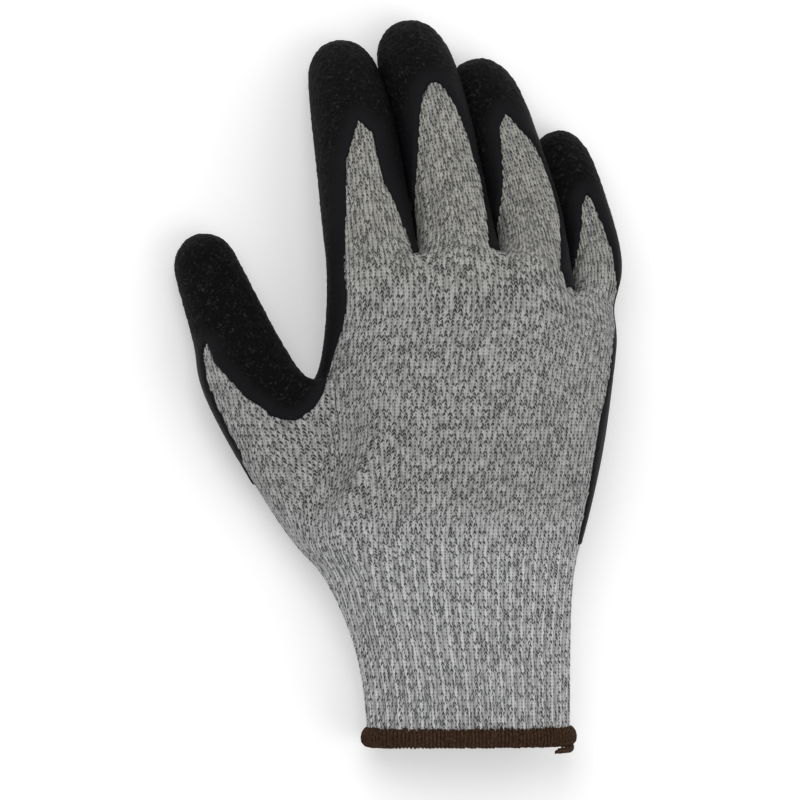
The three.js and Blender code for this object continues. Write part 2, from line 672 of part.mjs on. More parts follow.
// Points round the cuff's rim in order, with the direction out of the cuff there
function cuffRim(surface) {
  const next = new Map();
  const directed = new Set();
  for (const { corners } of surface.faces) {
    corners.forEach((corner, place) => directed.add(`${corner}_${corners[(place + 1) % 4]}`));
  }
  for (const { corners } of surface.faces) {
    corners.forEach((corner, place) => {
      const after = corners[(place + 1) % 4];
      if (!directed.has(`${after}_${corner}`)) next.set(corner, after);
    });
  }
  const start = next.keys().next().value;
  const ring = [];
  for (let corner = start; ring.length === 0 || corner !== start; corner = next.get(corner)) {
    const normal = surface.normals[corner].clone().setY(0).normalize();
    ring.push({ point: surface.points[corner], normal });
  }
  return ring;
}

function hemBinding(surface) {
  const ring = cuffRim(surface);
  const positions = [];
  for (const { point, normal } of ring) {
    for (const { out, up } of HEM_PROFILE) {
      const height = Math.max(0, point.z + normal.z * out);
      positions.push(point.x + normal.x * out, up, height);
    }
  }
  const count = HEM_PROFILE.length;
  const triangles = [];
  ring.forEach((_, index) => {
    const after = (index + 1) % ring.length;
    for (let step = 0; step < count; step += 1) {
      const onward = (step + 1) % count;
      const [a, b] = [index * count + step, after * count + step];
      const [c, d] = [after * count + onward, index * count + onward];
      triangles.push(a, c, b, a, d, c);
    }
  });
  return closedGeometry(positions, triangles);
}

function threadTail() {
  const section = handSection(0);
  const thickness = TAIL_THICKNESS;
  const route = TAIL_ROUTE.map(({ around, hang }) => new THREE.Vector3(
    section.centre + around * (section.halfWidth + HEM_OUTSIDE / 2),
    -(SKIN_GAP + thickness / 2) - (hang - 0.5) * thickness,
    section.rise + (section.halfDepth + HEM_OUTSIDE / 2) * sectionHeight(around),
  ));
  const circle = new THREE.Shape().absarc(0, 0, thickness / 2, 0, Math.PI * 2);
  const path = new THREE.CatmullRomCurve3(route);
  return new THREE.ExtrudeGeometry(circle, { extrudePath: path, steps: 6, curveSegments: 3 });
}

const finishes = {
  knit: { color: KNIT_COLOUR, roughness: 0.95, metalness: 0 },
  latex: { color: LATEX_COLOUR, roughness: 0.8, metalness: 0 },
  hem: { color: HEM_COLOUR, roughness: 0.95, metalness: 0 },
};

const glove = new THREE.Group();
function addPiece(name, geometry, finish) {
  const mesh = new THREE.Mesh(geometry, new THREE.MeshStandardMaterial(finishes[finish]));
  mesh.name = name;
  glove.add(mesh);
}

const surface = linerSurface();
for (const piece of ['cuff', 'hand', ...Object.keys(STALLS)]) {
  addPiece(`knit_${piece}`, wall(surface, piece, -KNIT_WALL, 0), 'knit');
}
const latexWall = (piece) => wall(surface, piece, SKIN_GAP, SKIN_GAP + LATEX_WALL);
addPiece('latex_hand', cut(latexWall('hand'), broadWindow(HAND_WINDOW, handMiddle), dipBlock()), 'latex');
addPiece('latex_thumb', cut(
  latexWall('thumb'),
  broadWindow(THUMB_WINDOW, thumbMiddle),
  broadWindow(HAND_WINDOW, handMiddle),
  dipBlock(),
), 'latex');
for (const finger of Object.keys(FINGER_ROOTS)) {
  addPiece(`latex_${finger}`, cut(latexWall(finger), fingerWindow(finger)), 'latex');
}
addPiece('hem_binding', hemBinding(surface), 'hem');
addPiece('hem_thread_tail', threadTail(), 'hem');

// The glove's origin is the middle of its footprint
const footprint = new THREE.Box3().setFromObject(glove);
const origin = footprint.getCenter(new THREE.Vector3());
glove.position.set(-origin.x, -origin.y, -footprint.min.z);

export default glove;
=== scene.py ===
"""Knitted work glove dipped in crinkled latex, lying palm down on a pale floor.

The glove is worked out in millimetres as the part's source gives it: +Y to the fingertips, +Z out of the back of
the hand, -X to the thumb. The finished meshes are moved into the part's frame, in metres.
"""
import math

import bpy
import numpy as np
from mathutils import Matrix, Vector, noise


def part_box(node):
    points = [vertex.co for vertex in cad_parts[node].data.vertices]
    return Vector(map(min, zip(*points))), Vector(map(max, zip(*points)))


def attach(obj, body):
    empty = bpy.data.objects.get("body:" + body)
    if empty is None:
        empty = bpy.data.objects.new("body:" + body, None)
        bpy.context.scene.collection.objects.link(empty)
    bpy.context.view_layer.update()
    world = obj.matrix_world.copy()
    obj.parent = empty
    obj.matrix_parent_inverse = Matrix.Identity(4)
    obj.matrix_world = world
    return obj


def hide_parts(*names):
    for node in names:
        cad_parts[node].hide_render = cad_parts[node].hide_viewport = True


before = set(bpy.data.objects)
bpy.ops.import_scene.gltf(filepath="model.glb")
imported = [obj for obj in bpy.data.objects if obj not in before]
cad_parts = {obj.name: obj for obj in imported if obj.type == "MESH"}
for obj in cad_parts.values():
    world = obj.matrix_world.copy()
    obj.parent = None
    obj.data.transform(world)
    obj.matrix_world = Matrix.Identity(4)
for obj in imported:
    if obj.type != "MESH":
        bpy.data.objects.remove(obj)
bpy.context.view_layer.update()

# Sizes of the glove, in millimetres
CUFF_WIDTH = 68.0
CUFF_DEPTH = 34.0
PALM_WIDTH = 96.0
PALM_DEPTH = 38.0
HAND_LENGTH = 164.0
KNUCKLE_RISE = 34.0
KNIT_WALL = 1.2
LATEX_WALL = 0.9
SKIN_GAP = 0.3
HEM_HEIGHT = 6.0
HEM_THICKNESS = 1.3
TAIL_THICKNESS = 1.9
CUFF_SQUASH = 0.8
HEM_OUTSIDE = SKIN_GAP + HEM_THICKNESS
LATEX_RISE = SKIN_GAP + LATEX_WALL
EDGE_ROUNDNESS = 2.4
STALL_ROUNDNESS = 2.1
WEB_VALLEY = 0.12
WEB_REACH = 0.012
DROOP_START = 0.1

# The coating's edge on the back was drawn as seen from this far over the thumb side
DIP_LEAN = math.radians(13)

# Size of one stitch on the hand: a wale's width and a course's height
WALE = 1.87
COURSE = 1.1
WALE_BOW = 5.5
POINTS_PER_WALE = 4
POINTS_PER_COURSE = 2
STITCH_RELIEF = 0.26
LEG_ROUNDNESS = 2.5
LEG_SLANT = 0.55
BEAD_SHARE = 0.25
GROOVE_DEPTH = 0.35
GROOVE_EDGE = 0.9

# The cuff's ribs: wales in one rib, height, and where up the hand they fade out
RIB_WALES = 3
RIB_RELIEF = 0.42
RIB_TOP = 0.47
RIB_FADE = 0.12
RIB_SINK = 0.3

STALLS = {
    "index": dict(length=77, width=(0.2833, 0.2292), flatness=0.9, root=(-0.382, 1.0, 0.98),
                  lean=(5, 2.5), pitch=(4.5, 42.5)),
    "middle": dict(length=84, width=(0.2458, 0.2312), flatness=0.92, root=(-0.074, 1.006, 0.99),
                   lean=(8, 8.5), pitch=(3.5, 42)),
    "ring": dict(length=73, width=(0.217, 0.2146), flatness=0.94, root=(0.214, 0.994, 0.9),
                 lean=(10.5, 17), pitch=(8, 37.5)),
    "little": dict(length=57, width=(0.174, 0.172), flatness=0.96, root=(0.46, 0.93, 0.65),
                   lean=(5, 20), pitch=(3.5, 37.5)),
    "thumb": dict(length=68, width=(0.35, 0.2125), flatness=0.88, root=(-0.702, 0.652, 0.6),
                  lean=(24, 16), pitch=(8, 14.5)),
}

# Sections along a stall: place, shrinkage from root width to tip width, and the tip's rounding
FINGER_SECTIONS = [(0.12, 0.02, 1.0), (0.45, 0.32, 1.0), (0.77, 0.92, 1.0), (0.93, 1.0, 0.74)]
THUMB_SECTIONS = [(0.2, 0.25, 1.0), (0.48, 0.66, 1.0), (0.78, 1.0, 1.0), (0.93, 1.0, 0.76)]

STALL_STEPS = 40
STALL_LINES = 8

# Sections of the cuff and hand: up, spread, fullness, lift, thumb droop, little droop, shift, arch
HAND_SECTIONS = np.array([
    (0.012, 0.0, 1.0, 0.0, 0.0, 0.0, 0.008, 0),
    (0.08, 0.02, 1.0, 0.0, 0.0, 0.0, 0.004, 0),
    (0.18, 0.12, 0.98, 0.03, 0.01, 0.0, -0.01, 0),
    (0.28, 0.33, 0.98, 0.1, 0.05, 0.0, -0.04, 0),
    (0.365, 0.66, 0.98, 0.18, 0.12, 0.02, -0.075, 0),
    (0.455, 1.23, 1.0, 0.32, 0.2, 0.07, -0.12, 0),
    (0.6, 1.06, 1.05, 0.56, 0.3, 0.18, -0.04, 0),
    (0.745, 1.13, 1.0, 0.78, 0.24, 0.26, -0.018, 0.1),
    (0.88, 1.12, 0.9, 0.93, 0.12, 0.38, 0.006, 0.4),
    (1.0, 1.13, 0.75, 1.0, 0.09, 0.47, 0.003, 1),
])
CUFF_ROWS = 4
THUMB_ROWS = (5, 6, 7)

# Lengthwise lines round the hand: place across, back (1) or palm (-1), slant at the roots, and finger valley
LINES = [
    ("thumbEdge", -1, 0, -0.022, 0), ("thumbBack", -0.93, 1, -0.022, 0), ("indexBack", -0.72, 1, -0.014, 0),
    ("web1Back", -0.44, 1, -0.012, 1), ("middleBack", -0.17, 1, -0.004, 0), ("web2Back", 0.1, 1, -0.006, 1),
    ("ringBack", 0.39, 1, -0.02, 0), ("web3Back", 0.63, 1, -0.082, 1), ("littleBack", 0.83, 1, -0.088, 0),
    ("littleEdgeBack", 0.955, 1, -0.1, 0), ("littleEdge", 1, 0, -0.1, 0), ("littleEdgePalm", 0.955, -1, -0.1, 0),
    ("littlePalm", 0.83, -1, -0.088, 0), ("web3Palm", 0.63, -1, -0.082, 1), ("ringPalm", 0.39, -1, -0.02, 0),
    ("web2Palm", 0.1, -1, -0.006, 1), ("middlePalm", -0.17, -1, -0.004, 0), ("web1Palm", -0.44, -1, -0.012, 1),
    ("indexPalm", -0.72, -1, -0.014, 0), ("thumbPalm", -0.93, -1, -0.022, 0),
]
LINE_NAMES = [line[0] for line in LINES]
FINGER_ROOTS = {
    "index": ["thumbEdge", "thumbBack", "indexBack", "web1Back", "web1", "web1Palm", "indexPalm", "thumbPalm"],
    "middle": ["web1", "web1Back", "middleBack", "web2Back", "web2", "web2Palm", "middlePalm", "web1Palm"],
    "ring": ["web2", "web2Back", "ringBack", "web3Back", "web3", "web3Palm", "ringPalm", "web2Palm"],
    "little": ["web3", "web3Back", "littleBack", "littleEdgeBack", "littleEdge", "littleEdgePalm", "littlePalm",
               "web3Palm"],
}

# Outlines of the bare knit as they are seen along the dip's lean: across and up, in millimetres from the middle
# of the hem's free edge. Each finger has its own spike, and the hand's outline holds the thumb's spike too.
BARE_KNIT = {
    "index": [(-38.7, 148.2), (-39.7, 160.2), (-39.0, 182.2), (-39.0, 195.5), (-37.8, 198.8), (-36.5, 204.2),
              (-35.0, 208.2), (-33.3, 206.8), (-30.3, 204.2), (-28.7, 195.8), (-27.3, 189.2), (-23.8, 182.2),
              (-21.7, 177.2), (-18.7, 169.5), (-17.3, 164.5), (-16.3, 156.0)],
    "middle": [(-17.0, 156.0), (-16.3, 167.2), (-15.8, 186.2), (-15.1, 195.8), (-14.3, 211.2), (-13.3, 217.2),
               (-10.9, 221.0), (-8.8, 221.3), (-5.8, 218.5), (-2.8, 213.2), (0.3, 206.2), (3.0, 197.5),
               (5.7, 188.5), (7.5, 177.2), (8.4, 166.0), (9.3, 156.0)],
    "ring": [(9.0, 156.0), (10.5, 167.2), (12.3, 178.5), (13.5, 186.8), (13.2, 195.8), (12.3, 206.5),
             (14.0, 210.8), (16.0, 209.2), (18.0, 206.5), (22.7, 201.8), (25.7, 195.8), (28.7, 188.5),
             (31.7, 179.2), (32.3, 169.5), (32.0, 158.2), (33.5, 150.0)],
    "little": [(33.7, 150.0), (35.3, 153.5), (38.3, 163.5), (39.7, 173.2), (40.0, 180.8), (41.3, 184.0),
               (43.2, 181.5), (46.4, 173.5), (49.4, 165.2), (50.8, 156.2), (51.2, 145.0)],
    "hand": [(-39.0, 166.2), (-39.0, 158.2), (-38.7, 150.2), (-39.7, 140.8), (-41.7, 134.8), (-44.7, 124.8),
             (-46.7, 117.2), (-50.5, 112.0), (-55.7, 108.5), (-60.7, 108.8), (-64.7, 110.2), (-67.0, 112.7),
             (-72.2, 115.8), (-78.0, 122.2), (-83.0, 127.8), (-85.3, 134.2), (-86.6, 131.2), (-85.0, 121.5),
             (-81.7, 113.2), (-78.0, 105.5), (-74.0, 98.2), (-72.2, 90.8), (-70.7, 87.8), (-70.0, 60.0),
             (-60.0, -10.0), (60.0, -10.0), (45.0, 60.0), (37.8, 67.2), (41.5, 84.0), (44.5, 104.0),
             (48.6, 124.0), (50.9, 144.0), (51.0, 152.0), (36.5, 153.2), (34.3, 152.7), (33.0, 158.0),
             (10.3, 165.6), (8.8, 166.0), (-15.6, 164.5), (-17.0, 164.3)],
}

# The coating ends on the palm side along a straight line across the heel of the hand: across and up in mm
DIP_LINE = ((-72.0, 87.4), (39.4, 66.7))

# Short loose end of the stitching along the hem's free edge: place round the half width, and hang in thicknesses
TAIL_ROUTE = [(0.76, 0.6), (0.83, 0.6), (0.9, 0.5), (0.96, 0.5)]

# How the back's wales fan out: between which rows and columns, where they turn into the wales round the hand,
# and how much closer or wider than a wale they lie towards the thumb
FAN_ROWS = (2, 8)
FAN_COLUMNS = range(2, 11)
SIDE_COLUMNS = (8, 10)
THUMB_SPACING = (0.77, 1.25)

# How far the stitches run on under the coating, and how high the lowest of each skin lies over the floor
UNDER_COATING = 1.6
KNIT_CLEAR = 0.05
LATEX_CLEAR = 0.02
LINING_DEPTH = 0.55

# The camera: its distance in millimetres, the picture's size in pixels and pixels to a millimetre, where the hem's
# middle lies in the picture, and the height over the floor at which that scale holds
CAMERA_DISTANCE = 2600.0
PICTURE_SIZE = 800
PICTURE_SCALE = 3.0
SENSOR_WIDTH = 36
HEM_PIXEL = (469.0, 746.7)
FOCUS_HEIGHT = 25.0


def mix(start, end, share):
    """Value at a share of the way from start to end."""
    return start + (end - start) * share


# The liner's shape


def hand_section(up):
    """Size and place of the hand's section at a share of the hand's length."""
    table = [np.interp(up, HAND_SECTIONS[:, 0], HAND_SECTIONS[:, k]) for k in range(1, 7)]
    spread, fullness, lift, thumb_droop, little_droop, shift = table
    depth = mix(CUFF_DEPTH, PALM_DEPTH, min(spread, 1)) * fullness
    rest = CUFF_DEPTH / 2 + HEM_OUTSIDE - CUFF_SQUASH
    return dict(centre=shift * PALM_WIDTH, half_width=mix(CUFF_WIDTH, PALM_WIDTH, spread) / 2,
                half_depth=depth / 2, rise=mix(rest, KNUCKLE_RISE, lift),
                thumb_droop=thumb_droop * KNUCKLE_RISE, little_droop=little_droop * KNUCKLE_RISE)


CUFF_RIM = hand_section(HAND_SECTIONS[0, 0])


def section_height(across):
    """Height of a rounded section at a share of its half width, as a share of its half depth."""
    return (1 - abs(across) ** EDGE_ROUNDNESS) ** (1 / EDGE_ROUNDNESS)


def hand_point(row, line):
    """Where a section of the hand crosses a lengthwise line."""
    up, arch = row[0], row[7]
    _, across, side, slant, web = line
    section = hand_section(up)
    to_thumb = max(0, (-across - DROOP_START) / (1 - DROOP_START)) ** 2
    to_little = max(0, (across - DROOP_START) / (1 - DROOP_START)) ** 2
    height = section["rise"] - section["thumb_droop"] * to_thumb - section["little_droop"] * to_little
    valley = 1 - web * arch * WEB_VALLEY
    return np.array([
        section["centre"] + across * section["half_width"],
        (up + slant * arch) * HAND_LENGTH,
        height + side * section["half_depth"] * section_height(across) * valley,
    ])


def stall_frame(stall, along):
    """Centre line of a stall: position and directions at a share of its length."""
    def heading(share):
        lean = math.radians(mix(*stall["lean"], share))
        pitch = math.radians(mix(*stall["pitch"], share))
        side = np.array([math.cos(lean), math.sin(lean), 0])
        forward = np.array([-math.sin(lean) * math.cos(pitch), math.cos(lean) * math.cos(pitch), -math.sin(pitch)])
        return side, forward, np.cross(side, forward)

    across, up, rise = stall["root"]
    position = np.array([across * PALM_WIDTH, up * HAND_LENGTH, rise * KNUCKLE_RISE])
    for step in range(STALL_STEPS):
        middle = (step + 0.5) / STALL_STEPS * along
        position = position + heading(middle)[1] * stall["length"] * along / STALL_STEPS
    return (position, *heading(max(0, along)))


def stall_ring(stall, section):
    """Points round a stall's section, one on each of its lengthwise lines."""
    along, taper, rounding = section
    position, side, _, out = stall_frame(stall, along)
    half = mix(*stall["width"], taper) * PALM_WIDTH / 2 * rounding
    power = 2 / STALL_ROUNDNESS
    ring = []
    for index in range(STALL_LINES):
        angle = (index - 2) * math.tau / STALL_LINES
        sine, cosine = math.sin(angle), math.cos(angle)
        across = math.copysign(abs(sine) ** power, sine)
        height = math.copysign(abs(cosine) ** power, cosine)
        ring.append(position + side * half * across + out * half * stall["flatness"] * height)
    return ring


def only_used(faces, *values):
    """Drops the points that no face uses, and renumbers the faces."""
    used, renumbered = np.unique(faces, return_inverse=True)
    return (renumbered.reshape(faces.shape), *(value[used] for value in values))


def join(patches):
    """Joins patches, each some arrays and its faces, into one of each array and all the faces."""
    faces, offset = [], 0
    for patch in patches:
        faces.append(patch[-1] + offset)
        offset += len(patch[0])
    return [np.concatenate(values) for values in list(zip(*patches))[:-1]] + [np.concatenate(faces)]


def liner_net():
    """Net of four-sided faces that the liner's outside passes through.

    Each face has four corners and a label: its piece, its column round the glove and its row along it.
    """
    points, faces, labels = [], [], []

    def add(point):
        points.append(point)
        return len(points) - 1

    rows = [{line[0]: add(hand_point(row, line)) for line in LINES} for row in HAND_SECTIONS]
    for row in range(len(rows) - 1):
        at_thumb = row in THUMB_ROWS and row + 1 in THUMB_ROWS
        for column, name in enumerate(LINE_NAMES):
            after = LINE_NAMES[(column + 1) % len(LINE_NAMES)]
            if at_thumb and name in ("thumbPalm", "thumbEdge"):
                continue
            faces.append((rows[row][name], rows[row][after], rows[row + 1][after], rows[row + 1][name]))
            labels.append(("cuff" if row < CUFF_ROWS else "hand", column, row))
    roots = rows[-1]
    for web in ("web1", "web2", "web3"):
        middle = (points[roots[web + "Back"]] + points[roots[web + "Palm"]]) / 2
        roots[web] = add(middle + np.array([0, WEB_REACH * HAND_LENGTH, 0]))
    bottom, side, top = (rows[row] for row in THUMB_ROWS)
    stall_roots = {finger: [roots[name] for name in around] for finger, around in FINGER_ROOTS.items()}
    stall_roots["thumb"] = [bottom["thumbEdge"], bottom["thumbBack"], side["thumbBack"], top["thumbBack"],
                            top["thumbEdge"], top["thumbPalm"], side["thumbPalm"], bottom["thumbPalm"]]
    for name, stall in STALLS.items():
        ring = stall_roots[name]
        for place, section in enumerate(THUMB_SECTIONS if name == "thumb" else FINGER_SECTIONS):
            onward = [add(point) for point in stall_ring(stall, section)]
            for column in range(STALL_LINES):
                after = (column + 1) % STALL_LINES
                faces.append((ring[column], ring[after], onward[after], onward[column]))
                labels.append((name, column, place))
            ring = onward
        tip = add(stall_frame(stall, 1)[0])
        for column in range(0, STALL_LINES, 2):
            faces.append((ring[column], ring[column + 1], ring[(column + 2) % STALL_LINES], tip))
            labels.append((name, column, "tip"))
    faces, points = only_used(np.array(faces), np.array(points))
    return points, faces, labels


def net_edges(faces):
    """Edges of a net, each face's four edges, and whether an edge is on the rim."""
    ends = np.stack([faces, np.roll(faces, -1, axis=1)], axis=2).reshape(-1, 2)
    edges, place = np.unique(np.sort(ends, axis=1), axis=0, return_inverse=True)
    place = place.reshape(faces.shape)
    rim = np.bincount(place.ravel(), minlength=len(edges)) == 1
    return edges, place, rim


def gather(count, where, values):
    """Sums the values that belong to each point."""
    total = np.zeros((count, 3))
    np.add.at(total, where, values)
    return total


def smooth_points(points, faces):
    """Where each corner of the net ends up on the smooth surface."""
    edges, _, rim = net_edges(faces)
    count = len(points)
    edge_sum = gather(count, edges[:, 0], points[edges[:, 1]]) + gather(count, edges[:, 1], points[edges[:, 0]])
    valence = np.bincount(edges.ravel(), minlength=count)[:, None]
    across = gather(count, faces.ravel(), points[np.roll(faces, -2, axis=1)].reshape(-1, 3))
    result = (points * valence ** 2 + 4 * edge_sum + across) / (valence * (valence + 5))
    border = edges[rim]
    on_rim = np.unique(border)
    rim_sum = gather(count, border[:, 0], points[border[:, 1]]) + gather(count, border[:, 1], points[border[:, 0]])
    result[on_rim] = (points[on_rim] * 4 + rim_sum[on_rim]) / 6
    return result


FIT_ROUNDS = 10


def fit_net(points, faces):
    """Moves the net's corners out until the smooth surface passes through the sections."""
    fitted = points.copy()
    for _ in range(FIT_ROUNDS):
        fitted += points - smooth_points(fitted, faces)
    return fitted


def subdivide(points, faces):
    """One step of smooth subdivision. A face's four children follow each other, one for each corner."""
    edges, place, rim = net_edges(faces)
    count = len(points)
    centres = points[faces].mean(axis=1)
    middles = points[edges].mean(axis=1)
    face_sum = gather(len(edges), place.ravel(), np.repeat(centres, 4, axis=0))
    edge_points = np.where(rim[:, None], middles, (2 * middles + face_sum) / 4)
    valence = np.bincount(edges.ravel(), minlength=count)[:, None]
    around_faces = gather(count, faces.ravel(), np.repeat(centres, 4, axis=0)) / np.maximum(
        1, np.bincount(faces.ravel(), minlength=count))[:, None]
    around_edges = (gather(count, edges[:, 0], middles) + gather(count, edges[:, 1], middles)) / valence
    moved = (around_faces + 2 * around_edges + (valence - 3) * points) / valence
    border = edges[rim]
    on_rim = np.unique(border)
    rim_sum = gather(count, border[:, 0], middles[rim]) + gather(count, border[:, 1], middles[rim])
    moved[on_rim] = (2 * points[on_rim] + rim_sum[on_rim]) / 4
    edge_start = count
    centre_start = count + len(edges)
    centre_index = centre_start + np.arange(len(faces))
    children = np.stack([
        np.stack([faces[:, k], edge_start + place[:, k], centre_index, edge_start + place[:, (k + 3) % 4]], axis=1)
        for k in range(4)], axis=1).reshape(-1, 4)
    return np.concatenate([moved, edge_points, centres]), children


def corner_shares(levels):
    """Places of the smallest children's corners in their parent face, as shares of its two directions."""
    shares = np.array([[(0, 0), (1, 0), (1, 1), (0, 1)]], float)
    for _ in range(levels):
        centre = shares.mean(axis=1)
        middle = (shares + np.roll(shares, -1, axis=1)) / 2
        shares = np.stack([
            np.stack([shares[:, k], middle[:, k], centre, middle[:, (k + 3) % 4]], axis=1)
            for k in range(4)], axis=1).reshape(-1, 4, 2)
    return shares


class Liner:
    """The liner's outside as patches: one for each face of the net, each a grid of points and normals."""

    levels = 3

    def __init__(self):
        points, net_faces, self.labels = liner_net()
        points, faces = fit_net(points, net_faces), net_faces
        for _ in range(self.levels):
            points, faces = subdivide(points, faces)
        points = smooth_points(points, faces)
        children = 4 ** self.levels
        in_cuff = np.zeros(len(points), bool)
        for index, label in enumerate(self.labels):
            if label[0] == "cuff":
                in_cuff[faces[index * children:(index + 1) * children]] = True
        rest = np.where(in_cuff, HEM_OUTSIDE, LATEX_RISE)
        points[:, 2] = np.maximum(points[:, 2], rest)
        a, b, c, d = (points[faces[:, k]] for k in range(4))
        area = np.cross(c - a, d - b)
        normals = gather(len(points), faces.ravel(), np.repeat(area, 4, axis=0))
        normals /= np.linalg.norm(normals, axis=1)[:, None]
        side = 2 ** self.levels
        shares = np.round(corner_shares(self.levels) * side).astype(int)
        grid = np.zeros((len(net_faces), side + 1, side + 1), int)
        by_face = faces.reshape(len(net_faces), children, 4)
        for child in range(children):
            for corner in range(4):
                across, up = shares[child, corner]
                grid[:, across, up] = by_face[:, child, corner]
        self.points, self.normals, self.grid, self.side = points, normals, grid, side

    def sample(self, patch, across, up):
        """Point, normal and lengthwise direction at shares across and up a patch."""
        x = np.clip(across, 0, 1) * self.side
        y = np.clip(up, 0, 1) * self.side
        column = np.minimum(x.astype(int), self.side - 1)
        row = np.minimum(y.astype(int), self.side - 1)
        fx, fy = (x - column)[:, None], (y - row)[:, None]
        grid = self.grid[patch]
        low_left, low_right = grid[column, row], grid[column + 1, row]
        high_left, high_right = grid[column, row + 1], grid[column + 1, row + 1]

        def blend(values):
            low = mix(values[low_left], values[low_right], fx)
            high = mix(values[high_left], values[high_right], fx)
            return low, high

        low, high = blend(self.points)
        low_normal, high_normal = blend(self.normals)
        normal = mix(low_normal, high_normal, fy)
        return mix(low, high, fy), normal / np.linalg.norm(normal, axis=1)[:, None], high - low


liner = Liner()

# Everything is moved from the glove's own origin to the part's
cuff_ids = np.unique(liner.grid[[i for i, label in enumerate(liner.labels) if label[0] == "cuff"]])
cuff_low, cuff_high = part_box("knit_cuff")
cuff_reach = liner.points[cuff_ids]
ORIGIN = np.array([
    (cuff_reach[:, 0].min() + cuff_reach[:, 0].max()) / 2 - (cuff_low.x + cuff_high.x) * 500,
    -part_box("hem_binding")[0].y * 1000,
    0.0,
])


def in_frame(points):
    """Points in the part's frame, in metres, from points in millimetres."""
    return (np.asarray(points) - ORIGIN) / 1000


# The view along which the coating's edge was drawn, and the camera's

LEAN_ACROSS = np.array([math.cos(DIP_LEAN), 0, math.sin(DIP_LEAN)])
LEAN_OUT = np.array([-math.sin(DIP_LEAN), 0, math.cos(DIP_LEAN)])
SEEN_MIDDLE = np.array([2.78, 120.0])


def seen(points):
    """Across and up as seen from the camera's place, in millimetres at the height that is in focus."""
    across = points @ LEAN_ACROSS - SEEN_MIDDLE[0]
    up = points[:, 1] - SEEN_MIDDLE[1]
    towards = points @ LEAN_OUT - FOCUS_HEIGHT
    nearness = CAMERA_DISTANCE / (CAMERA_DISTANCE - towards)
    return np.stack([across * nearness, up * nearness + SEEN_MIDDLE[1]], axis=1)


def outline_distance(points, outline):
    """Distance in the picture from points to an outline, positive inside it."""
    outline = np.array(outline)
    start, end = outline, np.roll(outline, -1, axis=0)
    inside = np.zeros(len(points), bool)
    nearest = np.full(len(points), 1e9)
    for a, b in zip(start, end):
        run = b - a
        share = np.clip(((points - a) @ run) / (run @ run), 0, 1)
        nearest = np.minimum(nearest, np.linalg.norm(points - a - share[:, None] * run, axis=1))
        crosses = (a[1] > points[:, 1]) != (b[1] > points[:, 1])
        with np.errstate(divide="ignore", invalid="ignore"):
            at = a[0] + (points[:, 1] - a[1]) * run[0] / (run[1] if run[1] else 1e-9)
        inside ^= crosses & (points[:, 0] < at)
    return np.where(inside, nearest, -nearest)


# Distance given to the cuff, which has no coating, and to a place that faces the view squarely, in millimetres
FAR_INSIDE = 20.0
TURNING_EDGE = 9.0


def bare_distance(points, normals, piece):
    """How far a place lies inside the bare knit, in millimetres; negative under the coating."""
    if piece == "cuff":
        return np.full(len(points), FAR_INSIDE)
    flat = seen(points)
    window = outline_distance(flat, BARE_KNIT["hand"])
    for finger in ("index", "middle", "ring", "little"):
        if piece in (finger, "hand"):
            window = np.maximum(window, outline_distance(flat, BARE_KNIT[finger]))
    facing = normals @ LEAN_OUT * TURNING_EDGE
    back = np.minimum(window, facing)
    start, end = (np.array(place) for place in DIP_LINE)
    run = (end - start) / np.linalg.norm(end - start)
    across_up = points[:, :2] - start
    below = -(across_up[:, 1] * run[0] - across_up[:, 0] * run[1])
    return np.maximum(back, below)


# Meshes


def new_object(name, points, faces, material, uvs=None):
    """A finished piece in the part's frame, from points in millimetres."""
    mesh = bpy.data.meshes.new(name)
    mesh.from_pydata(in_frame(points).tolist(), [], faces.tolist() if isinstance(faces, np.ndarray) else faces)
    mesh.validate()
    mesh.materials.append(material)
    for layer_name, values in (uvs or {}).items():
        layer = mesh.uv_layers.new(name=layer_name)
        corners = np.zeros(len(mesh.loops), np.int32)
        mesh.loops.foreach_get("vertex_index", corners)
        layer.data.foreach_set("uv", np.ascontiguousarray(values[corners], dtype=np.float32).ravel())
    mesh.polygons.foreach_set("use_smooth", np.full(len(mesh.polygons), True))
    obj = bpy.data.objects.new(name, mesh)
    bpy.context.scene.collection.objects.link(obj)
    return obj


def weld(points, faces):
    """Points that lie in one place become one."""
    _, first, place = np.unique(np.round(points * 2e3).astype(np.int64), axis=0, return_index=True,
                                return_inverse=True)
    return first, place.ravel()[faces]


def patch_grid(across_count, up_count):
    """Places and faces of a grid over one patch."""
    across, up = np.meshgrid(np.linspace(0, 1, across_count + 1), np.linspace(0, 1, up_count + 1), indexing="ij")
    index = np.arange(across.size).reshape(across.shape)
    faces = np.stack([index[:-1, :-1], index[1:, :-1], index[1:, 1:], index[:-1, 1:]], axis=-1).reshape(-1, 4)
    return across.ravel(), up.ravel(), faces


def patch_size(patch):
    """Width half way up a patch and its length half way across, in millimetres."""
    grid = liner.points[liner.grid[patch]]
    half = liner.side // 2
    width = np.linalg.norm(np.diff(grid[:, half], axis=0), axis=1).sum()
    length = np.linalg.norm(np.diff(grid[half], axis=0), axis=1).sum()
    return width, length


# Counts of wales in each column and of courses in each row, the same all the way along

MAIN_COLUMNS = range(2, 18)
WIDEST_ROW = 7
hand_patch = {label[1:]: i for i, label in enumerate(liner.labels) if label[0] in ("hand", "cuff")}
hand_wales = [max(2, round(patch_size(hand_patch[column, WIDEST_ROW])[0] / WALE)) for column in range(len(LINES))]
hand_courses = [max(2, round(np.median([patch_size(hand_patch[column, row])[1] for column in MAIN_COLUMNS])
                             / COURSE)) for row in range(len(HAND_SECTIONS) - 1)]
wale_start = np.concatenate([[0], np.cumsum(hand_wales)]).tolist()
course_start = np.concatenate([[0], np.cumsum(hand_courses)]).tolist()
stall_patch = {label: i for i, label in enumerate(liner.labels) if label[0] in STALLS}

